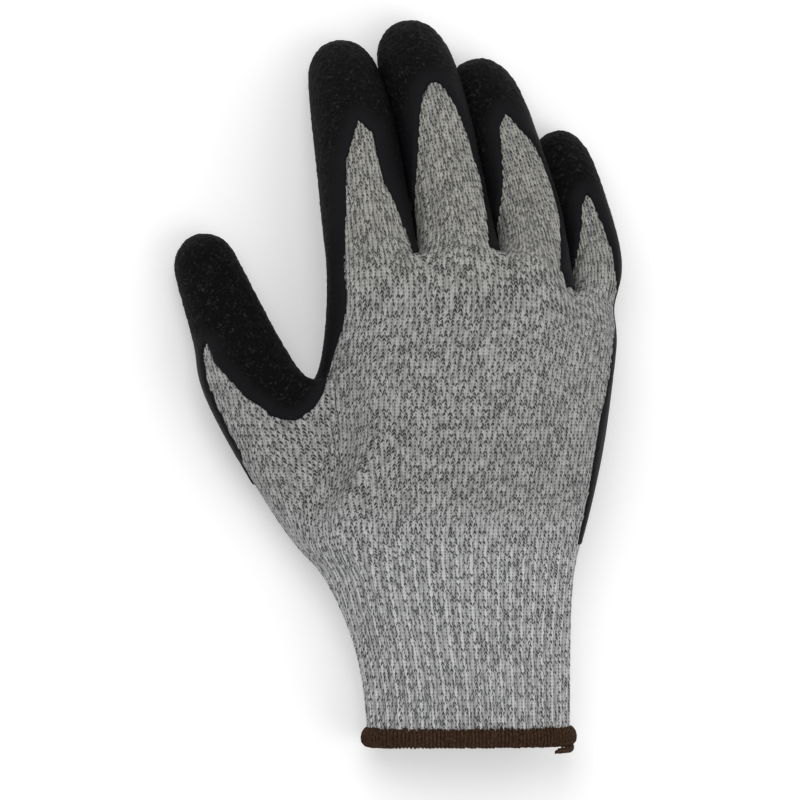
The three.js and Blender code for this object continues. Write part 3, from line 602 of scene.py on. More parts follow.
# A patch whose own count is within these shares of its row's usual one gets the usual one
NEAR_USUAL = (0.75, 1.3)


def own_count(size, stitch, usual):
    """A row's usual count of stitches, or the patch's own where it is much wider or longer."""
    own = max(2, round(size / stitch))
    return usual if NEAR_USUAL[0] < own / usual < NEAR_USUAL[1] else own


# The webs between the fingers have wales of their own, numbered well past all the others
WEB_WALES = 4
WEB_START = 400


def stall_courses(piece):
    """Courses in each row of a stall."""
    return [max(2, round(patch_size(stall_patch[piece, 2, row])[1] / COURSE))
            for row in range(len(FINGER_SECTIONS))]


def finger_wales(piece, column):
    """Wales in a finger's column and the number of its first one, carried on from the hand's."""
    name, after = FINGER_ROOTS[piece][column], FINGER_ROOTS[piece][(column + 1) % STALL_LINES]
    if name not in LINE_NAMES or after not in LINE_NAMES:
        return WEB_WALES, WEB_START + 2 * WEB_WALES * column
    first, second = LINE_NAMES.index(name), LINE_NAMES.index(after)
    hand_column = first if (first + 1) % len(LINES) == second else second
    return hand_wales[hand_column], wale_start[hand_column]


def knit_counts(label, patch):
    """How many wales and courses a patch is drawn with."""
    piece, column, row = label
    width, length = patch_size(patch)
    if piece == "cuff":
        return hand_wales[column], hand_courses[row]
    if piece == "hand":
        return own_count(width, WALE, hand_wales[column]), own_count(length, COURSE, hand_courses[row])
    if piece == "thumb":
        return max(3, round(width / WALE)), own_count(length, COURSE, stall_courses(piece)[row])
    return finger_wales(piece, column)[0], stall_courses(piece)[row]


# Heights of the back along two of the hand's lines, and of the thumb's top at each level up the hand
back_heights = {line: [hand_point(row, LINES[line])[2] for row in HAND_SECTIONS] for line in (1, 2)}
thumb_tops = np.concatenate([liner.points[liner.grid[patch]].reshape(-1, 3)
                             for label, patch in stall_patch.items() if label[0] == "thumb"])
LEVEL_STEP = 3.0
thumb_levels = np.arange(thumb_tops[:, 1].min(), thumb_tops[:, 1].max(), LEVEL_STEP)
thumb_tops = np.array([thumb_tops[np.abs(thumb_tops[:, 1] - level) < LEVEL_STEP, 2].max()
                       for level in thumb_levels])


def back_height(line, up):
    """Height of the thumb's line (1) or the index finger's line (2) on the back of the hand."""
    return np.interp(up, HAND_SECTIONS[:, 0], back_heights[line])


def straight_wale(x, up):
    """Number of the wale through points on the back: wales fan out from the cuff, bowed a little to the thumb."""
    first, last = (HAND_SECTIONS[row, 0] for row in FAN_ROWS)
    share = np.clip((up - first) / (last - first), 0, 1)
    low, high = (np.array([hand_section(place)["centre"] + LINES[column][1] * hand_section(place)["half_width"]
                           for column in FAN_COLUMNS]) for place in (first, last))
    numbers = np.array([wale_start[column] for column in FAN_COLUMNS], float)
    bow = 4 * share * (1 - share)
    lines = mix(low[None], high[None], share[:, None]) - bow[:, None] * np.linspace(WALE_BOW, 0, len(low))
    cell = np.clip((x[:, None] >= lines).sum(axis=1) - 1, 0, len(numbers) - 2)
    which = np.arange(len(x))
    left, right = lines[which, cell], lines[which, cell + 1]
    wale = mix(numbers[cell], numbers[cell + 1], (x - left) / (right - left))
    # Past the index finger's line further wales run up into the thumb, a little wider apart towards it
    beyond = x < lines[:, 0]
    spacing = WALE * mix(*THUMB_SPACING, share * share * (3 - 2 * share))
    return np.where(beyond, numbers[0] - (lines[:, 0] - x) / spacing, wale)


def stitch_place(label, points, across, up):
    """Wale and course numbers of points on a patch."""
    piece, column, row = label
    if piece == "thumb":
        level = points[:, 1] / HAND_LENGTH
        drop = (back_height(1, level) - back_height(2, level)
                + points[:, 2] - np.interp(points[:, 1], thumb_levels, thumb_tops))
        return straight_wale(points[:, 0] + drop, level), np.interp(level, HAND_SECTIONS[:, 0], course_start)
    if piece in FINGER_ROOTS:
        (wales, first), courses = finger_wales(piece, column), stall_courses(piece)
        return first + across * wales, course_start[-1] + sum(courses[:row]) + up * courses[row]
    course = course_start[row] + up * hand_courses[row]
    round_the_hand = wale_start[column] + across * hand_wales[column]
    if FAN_ROWS[0] <= row < FAN_ROWS[1] and column < FAN_COLUMNS[-1]:
        level = mix(HAND_SECTIONS[row, 0], HAND_SECTIONS[row + 1, 0], up)
        # Where the back turns down towards the thumb side, its height counts as width
        drop = np.minimum(points[:, 2] - back_height(2, level), 0) if column < FAN_COLUMNS[0] else 0
        start, end = SIDE_COLUMNS
        towards_side = np.clip((column + across - start) / (end - start), 0, 1)
        return mix(straight_wale(points[:, 0] + drop, level), round_the_hand, towards_side), course
    return round_the_hand, course


def knit_relief(wale, course, up):
    """Height of the stitches over the liner's outside, and how far each point slants along its wale."""
    in_wale = wale - np.floor(wale)
    from_middle = np.abs(in_wale - 0.5) * 2
    bead = 0.5 - 0.5 * np.cos(2 * np.pi * course)
    leg = (1 - from_middle ** LEG_ROUNDNESS) * (1 - BEAD_SHARE + BEAD_SHARE * bead)
    height = STITCH_RELIEF * (leg - GROOVE_DEPTH * (from_middle > GROOVE_EDGE))
    ribbed = np.clip((RIB_TOP - up) / RIB_FADE, 0, 1)
    rib = np.cos(2 * np.pi * (wale + 0.5) / RIB_WALES)
    return height + ribbed * RIB_RELIEF * (rib - RIB_SINK), COURSE * LEG_SLANT * from_middle


# The five stalls share one square in cells, three across and two up, each with a margin
BAKE_CELLS = (3, 2)
BAKE_MARGIN = 0.02


def bake_place(label, across, up):
    """The piece laid out flat in one square, for baking."""
    piece, column, row = label
    if piece in ("cuff", "hand"):
        first, last = (0, CUFF_ROWS) if piece == "cuff" else (CUFF_ROWS, len(hand_courses))
        course = course_start[row] + up * hand_courses[row] - course_start[first]
        return np.stack([(wale_start[column] + across * hand_wales[column]) / wale_start[-1],
                         course / (course_start[last] - course_start[first])], axis=1)
    (wide, high), inside = BAKE_CELLS, 1 - 2 * BAKE_MARGIN
    cell_up, cell_across = divmod(list(STALLS).index(piece), wide)
    return np.stack([(cell_across + BAKE_MARGIN + inside * (column + across) / STALL_LINES) / wide,
                     (cell_up + BAKE_MARGIN + inside * (row + up) / len(FINGER_SECTIONS)) / high], axis=1)


def knit_sheets():
    """The stitches of the bare knit, in one sheet for each part of the glove."""
    groups = {"cuff": [], "hand": [], "stalls": []}
    for patch, label in enumerate(liner.labels):
        if label[2] == "tip":
            continue
        wales, courses = knit_counts(label, patch)
        across, up, faces = patch_grid(wales * POINTS_PER_WALE, courses * POINTS_PER_COURSE)
        points, normals, lengthwise = liner.sample(patch, across, up)
        bare = bare_distance(points, normals, label[0])
        keep = (bare[faces] > -UNDER_COATING).any(axis=1)
        if not keep.any():
            continue
        knit_uv = np.stack(stitch_place(label, points, across, up), axis=1)
        group = label[0] if label[0] in groups else "stalls"
        groups[group].append((points, normals, lengthwise, knit_uv, bake_place(label, across, up), faces[keep]))
    sheets = {}
    for group, patches in groups.items():
        points, normals, lengthwise, knit_uv, bake_uv, faces = join(patches)
        lengthwise /= np.linalg.norm(lengthwise, axis=1)[:, None]
        height, slant = knit_relief(knit_uv[:, 0], knit_uv[:, 1], points[:, 1] / HAND_LENGTH)
        moved = points + normals * height[:, None] + lengthwise * slant[:, None]
        moved[:, 2] = np.maximum(moved[:, 2], KNIT_CLEAR)
        faces, moved, knit_uv, bake_uv = only_used(faces, moved, knit_uv, bake_uv)
        sheets[group] = (moved, faces, {"stitch": knit_uv, "OFBake": bake_uv})
    return sheets


# Materials

# Tones of the yarns and the latex. A pair goes from the darkest to the palest of its kind.
PALE_ON_HAND = ((0.213, 0.215, 0.209, 1), (0.488, 0.492, 0.48, 1))
PALE_ON_FINGERS = ((0.196, 0.193, 0.177, 1), (0.462, 0.456, 0.42, 1))
# The cuff's paler yarn is partly its own tone and partly painted light, for the cuff lying less in shade than the
# hand
PALE_ON_CUFF = ((0.31, 0.313, 0.312, 1), (0.64, 0.645, 0.643, 1))
# Painted shade for the cuff's rib valleys and painted highlight for its rib crests
RIB_VALLEY_SHADE = (0.12, 0.12, 0.12, 1)
RIB_CREST_HIGHLIGHT = (0.72, 0.725, 0.72, 1)
DARK_STRAND = (0.016, 0.0165, 0.018, 1)
# Painted shade in the holes between wales and along the line where a stitch's legs meet
STITCH_HOLE_SHADE = (0.02, 0.02, 0.022, 1)
LOOSE_FIBRE = (0.6, 0.6, 0.59, 1)
LINING_YARN = ((0.11, 0.112, 0.113, 1), (0.4, 0.402, 0.4, 1))
# The latex's own dark tone, and the painted highlight on its crumbs' crests
LATEX_BASE_AND_CREST_HIGHLIGHT = ((0.0028, 0.0029, 0.003, 1), (0.034, 0.034, 0.033, 1))
SMOOTH_LATEX = (0.0075, 0.0078, 0.0095, 1)
HEM_YARN = ((0.0225, 0.0115, 0.0062, 1), (0.078, 0.042, 0.0235, 1))
WORN_YARN = (0.09, 0.055, 0.034, 1)
FLOOR_WHITE = ((0.86, 0.86, 0.86, 1), (0.9, 0.9, 0.9, 1))

# Share of the legs with a dark strand, in the palest and the darkest stretches of yarn
STRAND_CHANCE = (0.2, 0.58)

# Where the tones change: along the part towards the fingertips in metres, and in courses round the cuff's end,
# where the ribs' painted shade and highlight and the cuff's paler tone fade out
FINGER_TONE = (0.015, 0.06)
CUFF_END = course_start[CUFF_ROWS + 1]
RIB_END = (CUFF_END - 14, CUFF_END + 4)
CUFF_TONE = (CUFF_END - 14, CUFF_END + 14)


class Nodes:
    """Short names for the nodes that the materials are made of."""

    def __init__(self, tree):
        self.tree = tree

    def put(self, kind, **settings):
        node = self.tree.nodes.new(kind)
        for name, value in settings.items():
            setattr(node, name, value)
        return node

    def link(self, source, target):
        if isinstance(source, (int, float, tuple)):
            target.default_value = source
        else:
            self.tree.links.new(source, target)

    def maths(self, operation, first, second=0.0, third=0.0):
        node = self.put("ShaderNodeMath", operation=operation)
        for value, socket in zip((first, second, third), node.inputs):
            self.link(value, socket)
        return node.outputs[0]

    def combine(self, x, y, z=0.0):
        node = self.put("ShaderNodeCombineXYZ")
        for value, socket in zip((x, y, z), node.inputs):
            self.link(value, socket)
        return node.outputs[0]

    def noise(self, vector, scale, detail=2.0, roughness=0.5):
        node = self.put("ShaderNodeTexNoise")
        self.link(vector, node.inputs["Vector"])
        node.inputs["Scale"].default_value = scale
        node.inputs["Detail"].default_value = detail
        node.inputs["Roughness"].default_value = roughness
        return node.outputs["Fac"]

    def remap(self, value, low, high, to_low=0.0, to_high=1.0):
        node = self.put("ShaderNodeMapRange", interpolation_type="SMOOTHSTEP")
        for socket, number in zip(("Value", "From Min", "From Max", "To Min", "To Max"),
                                  (value, low, high, to_low, to_high)):
            self.link(number, node.inputs[socket])
        return node.outputs[0]

    def object_place(self):
        return self.put("ShaderNodeTexCoord").outputs["Object"]

    def parts(self, vector):
        node = self.put("ShaderNodeSeparateXYZ")
        self.link(vector, node.inputs[0])
        return node.outputs

    def relief(self, shader, height, strength, distance):
        """Bump on the shader, its distance in metres."""
        node = self.put("ShaderNodeBump")
        node.inputs["Strength"].default_value = strength
        node.inputs["Distance"].default_value = distance
        self.link(height, node.inputs["Height"])
        self.link(node.outputs[0], shader.inputs["Normal"])

    def colour(self, share, first, second):
        node = self.put("ShaderNodeMix", data_type="RGBA")
        self.link(share, node.inputs["Factor"])
        self.link(first, node.inputs[6])
        self.link(second, node.inputs[7])
        return node.outputs[2]


def material(name):
    made = bpy.data.materials.new(name)
    made.use_nodes = True
    return made, Nodes(made.node_tree), made.node_tree.nodes["Principled BSDF"]


def knit_material():
    """Mottled yarn in V-shaped stitches: pale legs, dark strands along some of them, and painted shade in the holes
    between wales; the cuff's ribs get painted shade and highlight, and its yarn a paler tone that is partly painted
    light.
    """
    made, nodes, shader = material("knit_yarn")
    place = nodes.object_place()
    wale, course, _ = nodes.parts(nodes.put("ShaderNodeUVMap", uv_map="stitch").outputs[0])
    leg_number = nodes.maths("FLOOR", nodes.maths("MULTIPLY", wale, 2.0))
    course_number = nodes.maths("FLOOR", course)
    in_course = nodes.maths("FRACT", course)
    from_middle = nodes.maths("MULTIPLY", nodes.maths("PINGPONG", nodes.maths("ADD", wale, 0.5), 0.5), 2.0)
    own_noise = nodes.put("ShaderNodeTexWhiteNoise", noise_dimensions="2D")
    nodes.link(nodes.combine(leg_number, course_number), own_noise.inputs["Vector"])
    own = nodes.put("ShaderNodeSeparateColor")
    nodes.link(own_noise.outputs["Color"], own.inputs[0])
    # The yarn runs along the course, so dark strands come in stretches of a few legs
    stretch = nodes.noise(nodes.combine(nodes.maths("MULTIPLY", wale, 0.75), nodes.maths(
        "MULTIPLY", course_number, 3.71)), 1.0, 1.0)
    chance = nodes.remap(stretch, 0.38, 0.64, *STRAND_CHANCE)
    has_strand = nodes.maths("LESS_THAN", own.outputs[0], chance)
    strand_line = nodes.maths("MULTIPLY_ADD", in_course, 0.55, nodes.remap(own.outputs[2], 0.0, 1.0, 0.05, 0.45))
    beside_strand = nodes.maths("ABSOLUTE", nodes.maths("SUBTRACT", from_middle, strand_line))
    from_end = nodes.maths("PINGPONG", in_course, 0.5)
    shown = nodes.maths("MULTIPLY", nodes.remap(from_end, 0.0, 0.2, 0.35, 1.0), has_strand)
    strand = nodes.maths("MULTIPLY", nodes.remap(beside_strand, 0.2, 0.46, 1.0, 0.0), shown)
    patches = nodes.noise(place, 210.0, 2.0)
    bright = nodes.maths("ADD", nodes.maths("MULTIPLY", own.outputs[1], 0.65),
                         nodes.remap(patches, 0.3, 0.7, 0.0, 0.35))
    towards_tips = nodes.remap(nodes.parts(place)[1], *FINGER_TONE)
    pale = nodes.colour(towards_tips, nodes.colour(bright, *PALE_ON_HAND), nodes.colour(bright, *PALE_ON_FINGERS))
    # Paler yarn on the cuff: partly its own tone, partly painted light where the cuff lies less in shade
    paler = nodes.remap(course, *CUFF_TONE, 1.0, 0.0)
    pale = nodes.colour(paler, pale, nodes.colour(bright, *PALE_ON_CUFF))
    in_cuff = nodes.remap(course, *RIB_END, 1.0, 0.0)
    rib = nodes.maths("COSINE", nodes.maths("MULTIPLY", nodes.maths("ADD", wale, 0.5), math.tau / RIB_WALES))
    # Painted shade in the cuff's rib valleys and a painted highlight on its rib crests, both fading out up the hand
    rib_valley_shade = nodes.maths("MULTIPLY", nodes.remap(rib, -1.0, 0.4, 0.15, 0.0), in_cuff)
    pale = nodes.colour(rib_valley_shade, pale, RIB_VALLEY_SHADE)
    rib_crest_highlight = nodes.maths("MULTIPLY", nodes.remap(rib, 0.6, 1.0, 0.0, 0.5), in_cuff)
    pale = nodes.colour(rib_crest_highlight, pale, RIB_CREST_HIGHLIGHT)
    mottled = nodes.colour(strand, pale, DARK_STRAND)
    # Painted shade in the holes between the wales, one for each course, and a faint painted shade line where a
    # stitch's two legs meet; the same mask also sinks them in the bump
    depth = nodes.remap(own.outputs[2], 0.0, 1.0, 0.62, 1.0)
    hole = nodes.remap(nodes.maths("PINGPONG", nodes.maths("ADD", course, 0.1), 0.5), 0.08, 0.4, 0.22, 1.0)
    between_wales = nodes.maths("MULTIPLY", nodes.remap(from_middle, 0.42, 0.88), hole)
    meeting = nodes.remap(nodes.maths("PINGPONG", nodes.maths("ADD", course, 0.6), 0.5), 0.1, 0.4, 0.1, 0.6)
    between_legs = nodes.maths("MULTIPLY", nodes.remap(from_middle, 0.02, 0.3, 0.8, 0.0), meeting)
    gap = nodes.maths("MULTIPLY", nodes.maths("MAXIMUM", between_wales, between_legs), depth)
    shaded = nodes.colour(nodes.maths("MULTIPLY", gap, 0.95), mottled, STITCH_HOLE_SHADE)
    fuzz = nodes.noise(place, 2600.0, 3.0, 0.6)
    fibres = nodes.colour(nodes.remap(fuzz, 0.45, 0.8, 0.0, 0.12), shaded, LOOSE_FIBRE)
    nodes.link(fibres, shader.inputs["Base Color"])
    nodes.link(nodes.remap(fuzz, 0.2, 0.8, 0.82, 0.98), shader.inputs["Roughness"])
    shader.inputs["Sheen Weight"].default_value = 0.12
    shader.inputs["Sheen Roughness"].default_value = 0.6
    shader.inputs["Specular IOR Level"].default_value = 0.2
    nodes.relief(shader, nodes.maths("SUBTRACT", nodes.maths("MULTIPLY", fuzz, 0.5), gap), 0.6, 0.0003)
    return made


def lining_material():
    """The purl side of the knit, seen inside the cuff."""
    made, nodes, shader = material("knit_lining_yarn")
    grain = nodes.noise(nodes.object_place(), 900.0, 3.0, 0.6)
    tone = nodes.colour(nodes.remap(grain, 0.4, 0.62), *LINING_YARN)
    nodes.link(tone, shader.inputs["Base Color"])
    shader.inputs["Roughness"].default_value = 0.95
    nodes.relief(shader, grain, 0.7, 0.0004)
    return made


def latex_material():
    """Matt black latex: smooth along its edge, and crinkled into fine crumbs further in, with a painted highlight
    on the crumbs' crests.
    """
    made, nodes, shader = material("crinkled_latex")
    place = nodes.object_place()
    depth = nodes.put("ShaderNodeAttribute", attribute_name="depth").outputs["Fac"]
    crumbly = nodes.remap(depth, 0.003, 0.007)
    fine = nodes.noise(place, 1250.0, 4.0, 0.65)
    coarse = nodes.noise(place, 520.0, 3.0, 0.6)
    crumbs = nodes.maths("ADD", nodes.maths("MULTIPLY", fine, 0.65), nodes.maths("MULTIPLY", coarse, 0.35))
    # Painted highlight: the crumbs' crests are coloured lighter; the same mask makes them less rough
    crest_highlight_mask = nodes.maths("MULTIPLY", nodes.remap(crumbs, 0.52, 0.66), crumbly)
    tone = nodes.colour(crest_highlight_mask, *LATEX_BASE_AND_CREST_HIGHLIGHT)
    smooth_band = nodes.colour(nodes.remap(depth, 0.001, 0.006, 0.8, 0.0), tone, SMOOTH_LATEX)
    nodes.link(smooth_band, shader.inputs["Base Color"])
    nodes.link(nodes.remap(crest_highlight_mask, 0.0, 1.0, 0.62, 0.85), shader.inputs["Roughness"])
    shader.inputs["Specular IOR Level"].default_value = 0.08
    much = nodes.maths("ADD", nodes.maths("MULTIPLY", crumbly, 0.85), 0.15)
    nodes.relief(shader, nodes.maths("MULTIPLY", nodes.remap(crumbs, 0.3, 0.7), much), 0.9, 0.0007)
    return made


def hem_material():
    """Brown overlock yarn with darker twists."""
    made, nodes, shader = material("overlock_yarn")
    place = nodes.object_place()
    fibre = nodes.noise(place, 1500.0, 3.0, 0.6)
    patch = nodes.noise(place, 90.0, 2.0)
    tone = nodes.colour(nodes.remap(fibre, 0.35, 0.7), *HEM_YARN)
    worn = nodes.colour(nodes.remap(patch, 0.5, 0.85, 0.0, 0.4), tone, WORN_YARN)
    nodes.link(worn, shader.inputs["Base Color"])
    shader.inputs["Roughness"].default_value = 0.9
    shader.inputs["Specular IOR Level"].default_value = 0.1
    nodes.relief(shader, fibre, 0.5, 0.0002)
    return made


def floor_material():
    """Plain pale ground that gives back a little light."""
    made, nodes, shader = material("pale_floor")
    tone = nodes.colour(nodes.noise(nodes.object_place(), 3.0, 2.0), *FLOOR_WHITE)
    nodes.link(tone, shader.inputs["Base Color"])
    shader.inputs["Roughness"].default_value = 0.8
    shader.inputs["Emission Color"].default_value = (1, 1, 1, 1)
    shader.inputs["Emission Strength"].default_value = 0.22
    return made


KNIT = knit_material()
LINING = lining_material()
LATEX = latex_material()
HEM = hem_material()


# The lining under the stitches, from the cuff's mouth to the fingertips


def lining_shell():
    """Closed wall between two skins that are joined round the cuff's mouth."""
    across, up, cells = patch_grid(liner.side, liner.side)
    patches = [(*liner.sample(patch, across, up)[:2], cells) for patch in range(len(liner.labels))]
    points, normals, faces = join(patches)
    first, faces = weld(points, faces)
    points, normals = points[first], normals[first]
    count = len(points)
    outer = points - normals * LINING_DEPTH
    inner = points - normals * KNIT_WALL
    edges, place, rim = net_edges(faces)
    walls = []
    for face, edge_row in zip(faces[rim[place].any(axis=1)], place[rim[place].any(axis=1)]):
        for k in range(4):
            if rim[edge_row[k]]:
                a, b = face[k], face[(k + 1) % 4]
                walls.append((b, a, a + count, b + count))
    all_faces = np.concatenate([faces, faces[:, ::-1] + count, np.array(walls)])
    return new_object("knit_lining", np.concatenate([outer, inner]), all_faces, LINING)


lining = lining_shell()


# The stitches of the bare knit


knit_pieces = [new_object(f"knit_{group}_stitches", points, faces, KNIT, uvs)
               for group, (points, faces, uvs) in knit_sheets().items()]


# The coating

# The fingers press against each other and close the gap between their stalls, and the coating is thin on the
# glove's outer sides: how much thicker it is on each piece's thumb side and on its other side, in millimetres
COATING_SWELL = {"hand": (0.0, -0.45), "thumb": (-0.35, 0.0), "index": (0.0, 0.5), "middle": (0.5, 0.5),
                 "ring": (0.5, 0.5), "little": (0.5, -0.45)}
LATEX_ACROSS = 16
LATEX_FINE = 32
LATEX_ROW = 0.65
FINE_ROWS = (5, 6)

# The coating's edge: how far it is tucked under, how wide it is rounded, and how ragged it runs
EDGE_TUCK = 0.15
LIP_WIDTH = 1.3
RAGGED_SIZE = 1.5
RAGGED_DEPTH = 0.35
RAGGED_REACH = 3

# Its crumbs: how far in they start and are full, their size and height
CRUMB_START = 1.5
CRUMB_FULL = 6.5
CRUMB_SIZE = 1.4
CRUMB_RELIEF = 0.24


def latex_counts(label):
    """How many cells the coating has across and up a patch."""
    piece, column, row = label
    if piece in ("cuff", "hand"):
        length = np.median([patch_size(hand_patch[c, row])[1] for c in MAIN_COLUMNS])
        return LATEX_ACROSS, LATEX_FINE if row in FINE_ROWS else int(round(length / LATEX_ROW))
    ring = [LATEX_ACROSS] * STALL_LINES
    if piece == "thumb":
        ring = [LATEX_ACROSS, LATEX_FINE, LATEX_FINE, LATEX_ACROSS] * 2
    if row == "tip":
        return ring[column], ring[(column + 1) % STALL_LINES]
    return ring[column], int(round(patch_size(stall_patch[piece, 2, row])[1] / LATEX_ROW))


def clip(values, faces):
    """Cuts faces where a value turns positive. Gives triangles and, for each new point, the edge it lies on."""
    triangles = np.concatenate([faces[:, [0, 1, 2]], faces[:, [0, 2, 3]]])
    under = values[triangles] < 0
    whole = triangles[under.all(axis=1)]
    mixed = triangles[under.any(axis=1) & ~under.all(axis=1)]
    state = values[mixed] < 0
    cuts, parts = {}, []
    count = len(values)

    def cut(a, b):
        key = (a, b) if a < b else (b, a)
        if key not in cuts:
            cuts[key] = count + len(cuts)
        return cuts[key]

    for triangle, inside in zip(mixed.tolist(), state.tolist()):
        turn = inside.index(True) if sum(inside) == 1 else inside.index(False)
        a, b, c = triangle[turn:] + triangle[:turn]
        if sum(inside) == 1:
            parts.append((a, cut(a, b), cut(a, c)))
        else:
            parts.append((cut(a, b), b, c))
            parts.append((cut(a, b), c, cut(a, c)))
    return whole, np.array(parts).reshape(-1, 3), np.array(list(cuts))


def fractal(points, size, octaves):
    """Uneven height at each point, from lumps of a size in millimetres."""
    scale = 1 / size
    return np.array([noise.fractal(Vector(point) * scale, 0.9, 2.1, octaves) for point in points.tolist()])


def latex_skin(name, pieces):
    """The coating on some pieces of the glove: a skin whose edge is rounded down into the knit."""
    patches = []
    for patch, label in enumerate(liner.labels):
        if label[0] not in pieces:
            continue
        across, up, cells = patch_grid(*latex_counts(label))
        here, out, _ = liner.sample(patch, across, up)
        side = out @ LEAN_ACROSS
        thicker = np.where(side < 0, *COATING_SWELL[label[0]]) * np.abs(side) ** 3
        patches.append((here, out, bare_distance(here, out, label[0]), thicker, cells))
    points, normals, bare, swell, faces = join(patches)
    first, faces = weld(points, faces)
    points, normals, bare, swell = points[first], normals[first], bare[first], swell[first]
    ragged = np.zeros(len(points))
    near = np.abs(bare) < RAGGED_REACH
    ragged[near] = fractal(points[near], RAGGED_SIZE, 2) * RAGGED_DEPTH
    bare = bare + ragged
    whole, parts, cuts = clip(bare, faces)
    low, high = bare[cuts[:, 0]], bare[cuts[:, 1]]
    share = (low / (low - high))[:, None]
    new_points = mix(points[cuts[:, 0]], points[cuts[:, 1]], share)
    new_normals = mix(normals[cuts[:, 0]], normals[cuts[:, 1]], share)
    points = np.concatenate([points, new_points])
    normals = np.concatenate([normals, new_normals])
    normals /= np.linalg.norm(normals, axis=1)[:, None]
    depth = np.concatenate([-bare, np.zeros(len(cuts))])
    swell = np.concatenate([swell, swell[cuts].mean(axis=1)])
    triangles = np.concatenate([whole, parts])
    triangles, points, normals, depth, swell = only_used(triangles, points, normals, depth, swell)
    lip = np.sqrt(np.clip(1 - (1 - np.clip(depth / LIP_WIDTH, 0, 1)) ** 2, 0, 1))
    crumbly = np.clip((depth - CRUMB_START) / (CRUMB_FULL - CRUMB_START), 0, 1)
    crumb = fractal(points, CRUMB_SIZE, 3)
    rise = lip * (LATEX_RISE + EDGE_TUCK + swell) - EDGE_TUCK + crumb * CRUMB_RELIEF * crumbly
    moved = points + normals * rise[:, None]
    moved[:, 2] = np.maximum(moved[:, 2], LATEX_CLEAR)
    skin = new_object(name, moved, triangles, LATEX)
    skin.data.attributes.new("depth", "FLOAT", "POINT").data.foreach_set("value", (depth / 1000).astype(np.float32))
    return skin


latex_pieces = [
    latex_skin("latex_palm_coating", ("hand",)),
    latex_skin("latex_thumb_coating", ("thumb",)),
    latex_skin("latex_finger_coating", ("index", "middle", "ring", "little")),
]


# The overlocked hem: a band round the cuff's rim and the yarn wrapped over it


def cuff_rim():
    """Points round the cuff's rim, evenly spaced, with the direction out of the cuff there."""
    ring, out = [], []
    for column in range(len(LINES)):
        across = np.arange(liner.side) / liner.side
        points, normals, _ = liner.sample(hand_patch[column, 0], across, np.zeros_like(across))
        ring.append(points)
        out.append(normals)
    ring, out = np.concatenate(ring), np.concatenate(out)
    out[:, 1] = 0
    return ring, out / np.linalg.norm(out, axis=1)[:, None]


def even(ring, out, count):
    """As many points as asked for at even distances round a closed ring, with their directions."""
    closed = np.concatenate([ring, ring[:1]])
    turned = np.concatenate([out, out[:1]])
    run = np.concatenate([[0], np.cumsum(np.linalg.norm(np.diff(closed, axis=0), axis=1))])
    places = np.arange(count) / count * run[-1]
    points = np.stack([np.interp(places, run, closed[:, k]) for k in range(3)], axis=1)
    normals = np.stack([np.interp(places, run, turned[:, k]) for k in range(3)], axis=1)
    return points, normals / np.linalg.norm(normals, axis=1)[:, None]


BAND_PROFILE = [(1.15, 5.2), (1.3, 3.2), (1.25, 1.4), (0.75, 0.35), (-0.6, 0.1), (-1.9, 0.5), (-2.15, 1.6),
                (-2.1, 4.6), (-1.5, 4.9), (-1.5, 2.2), (0.1, 2.2), (0.3, 5.6)]
WRAP_PROFILE = [(0.35, 6.1), (0.95, 5.7), (1.3, 4.6), (1.42, 3.0), (1.38, 1.5), (0.9, 0.5), (0.0, 0.22),
                (-1.1, 0.3), (-1.95, 0.8), (-2.2, 2.2), (-2.1, 4.0), (-1.7, 4.9)]
BAND_STEPS = 240
END_SWELL = 0.8
END_HALF_HEIGHT = 3.4
WRAP_COUNT = 134
WRAP_YARN = 0.56
WRAP_SIDES = 5
WRAP_SIZE = 1.0
WRAP_VARIATION = 0.04
WRAP_SEED = 11

# How unevenly the yarn is wrapped: its bend over the hem, its tilt, and its shifts along and across the hem
WRAP_BEND = 0.35
WRAP_TILT = 0.05
WRAP_SHIFT = (0.14, 0.12)

# The thread's way out of the hem (place round the half width, and up), its plies' radius from start to end,
# their distance from its middle, their turns, and how much earlier each ply frays off
TAIL_START = [(0.985, 2.2), (1.0, 0.9), (0.985, -0.5)]
TAIL_STEPS = 60
TAIL_SMOOTHING = 16
PLY_RADIUS = (0.86, 0.55)
PLY_OFFSET = 0.52
PLY_SIDES = 7
PLY_TURNS = 2.5
PLY_FRAY = (0, 3, 7)


def hem_band():
    """The firm band under the wrapped yarn."""
    points, normals = even(*cuff_rim(), BAND_STEPS)
    count = len(BAND_PROFILE)
    ring = []
    for point, normal in zip(points, normals):
        for out, up in BAND_PROFILE:
            place = point + normal * out
            ring.append((place[0], up, max(KNIT_CLEAR, place[2])))
    faces = []
    for index in range(len(points)):
        after = (index + 1) % len(points)
        for step in range(count):
            onward = (step + 1) % count
            faces.append((index * count + step, index * count + onward,
                          after * count + onward, after * count + step))
    return new_object("hem_band", ring, faces, HEM)


def yarn_tube(path, radius, sides):
    """Closed tube along a path of points, as points and faces."""
    path = np.asarray(path, float)
    tangents = np.gradient(path, axis=0)
    tangents /= np.linalg.norm(tangents, axis=1)[:, None]
    radii = np.broadcast_to(radius, len(path))
    reference = np.array([1.0, 0.0, 0.0])
    points, faces = [], []
    for place, tangent, size in zip(path, tangents, radii):
        first = reference - tangent * (reference @ tangent)
        first /= np.linalg.norm(first)
        second = np.cross(tangent, first)
        for side in range(sides):
            angle = 2 * math.pi * side / sides
            points.append(place + (first * math.cos(angle) + second * math.sin(angle)) * size)
    for ring in range(len(path) - 1):
        for side in range(sides):
            onward = (side + 1) % sides
            faces.append((ring * sides + side, ring * sides + onward,
                          (ring + 1) * sides + onward, (ring + 1) * sides + side))
    faces.append(tuple(range(sides))[::-1])
    faces.append(tuple((len(path) - 1) * sides + side for side in range(sides)))
    return np.array(points), faces


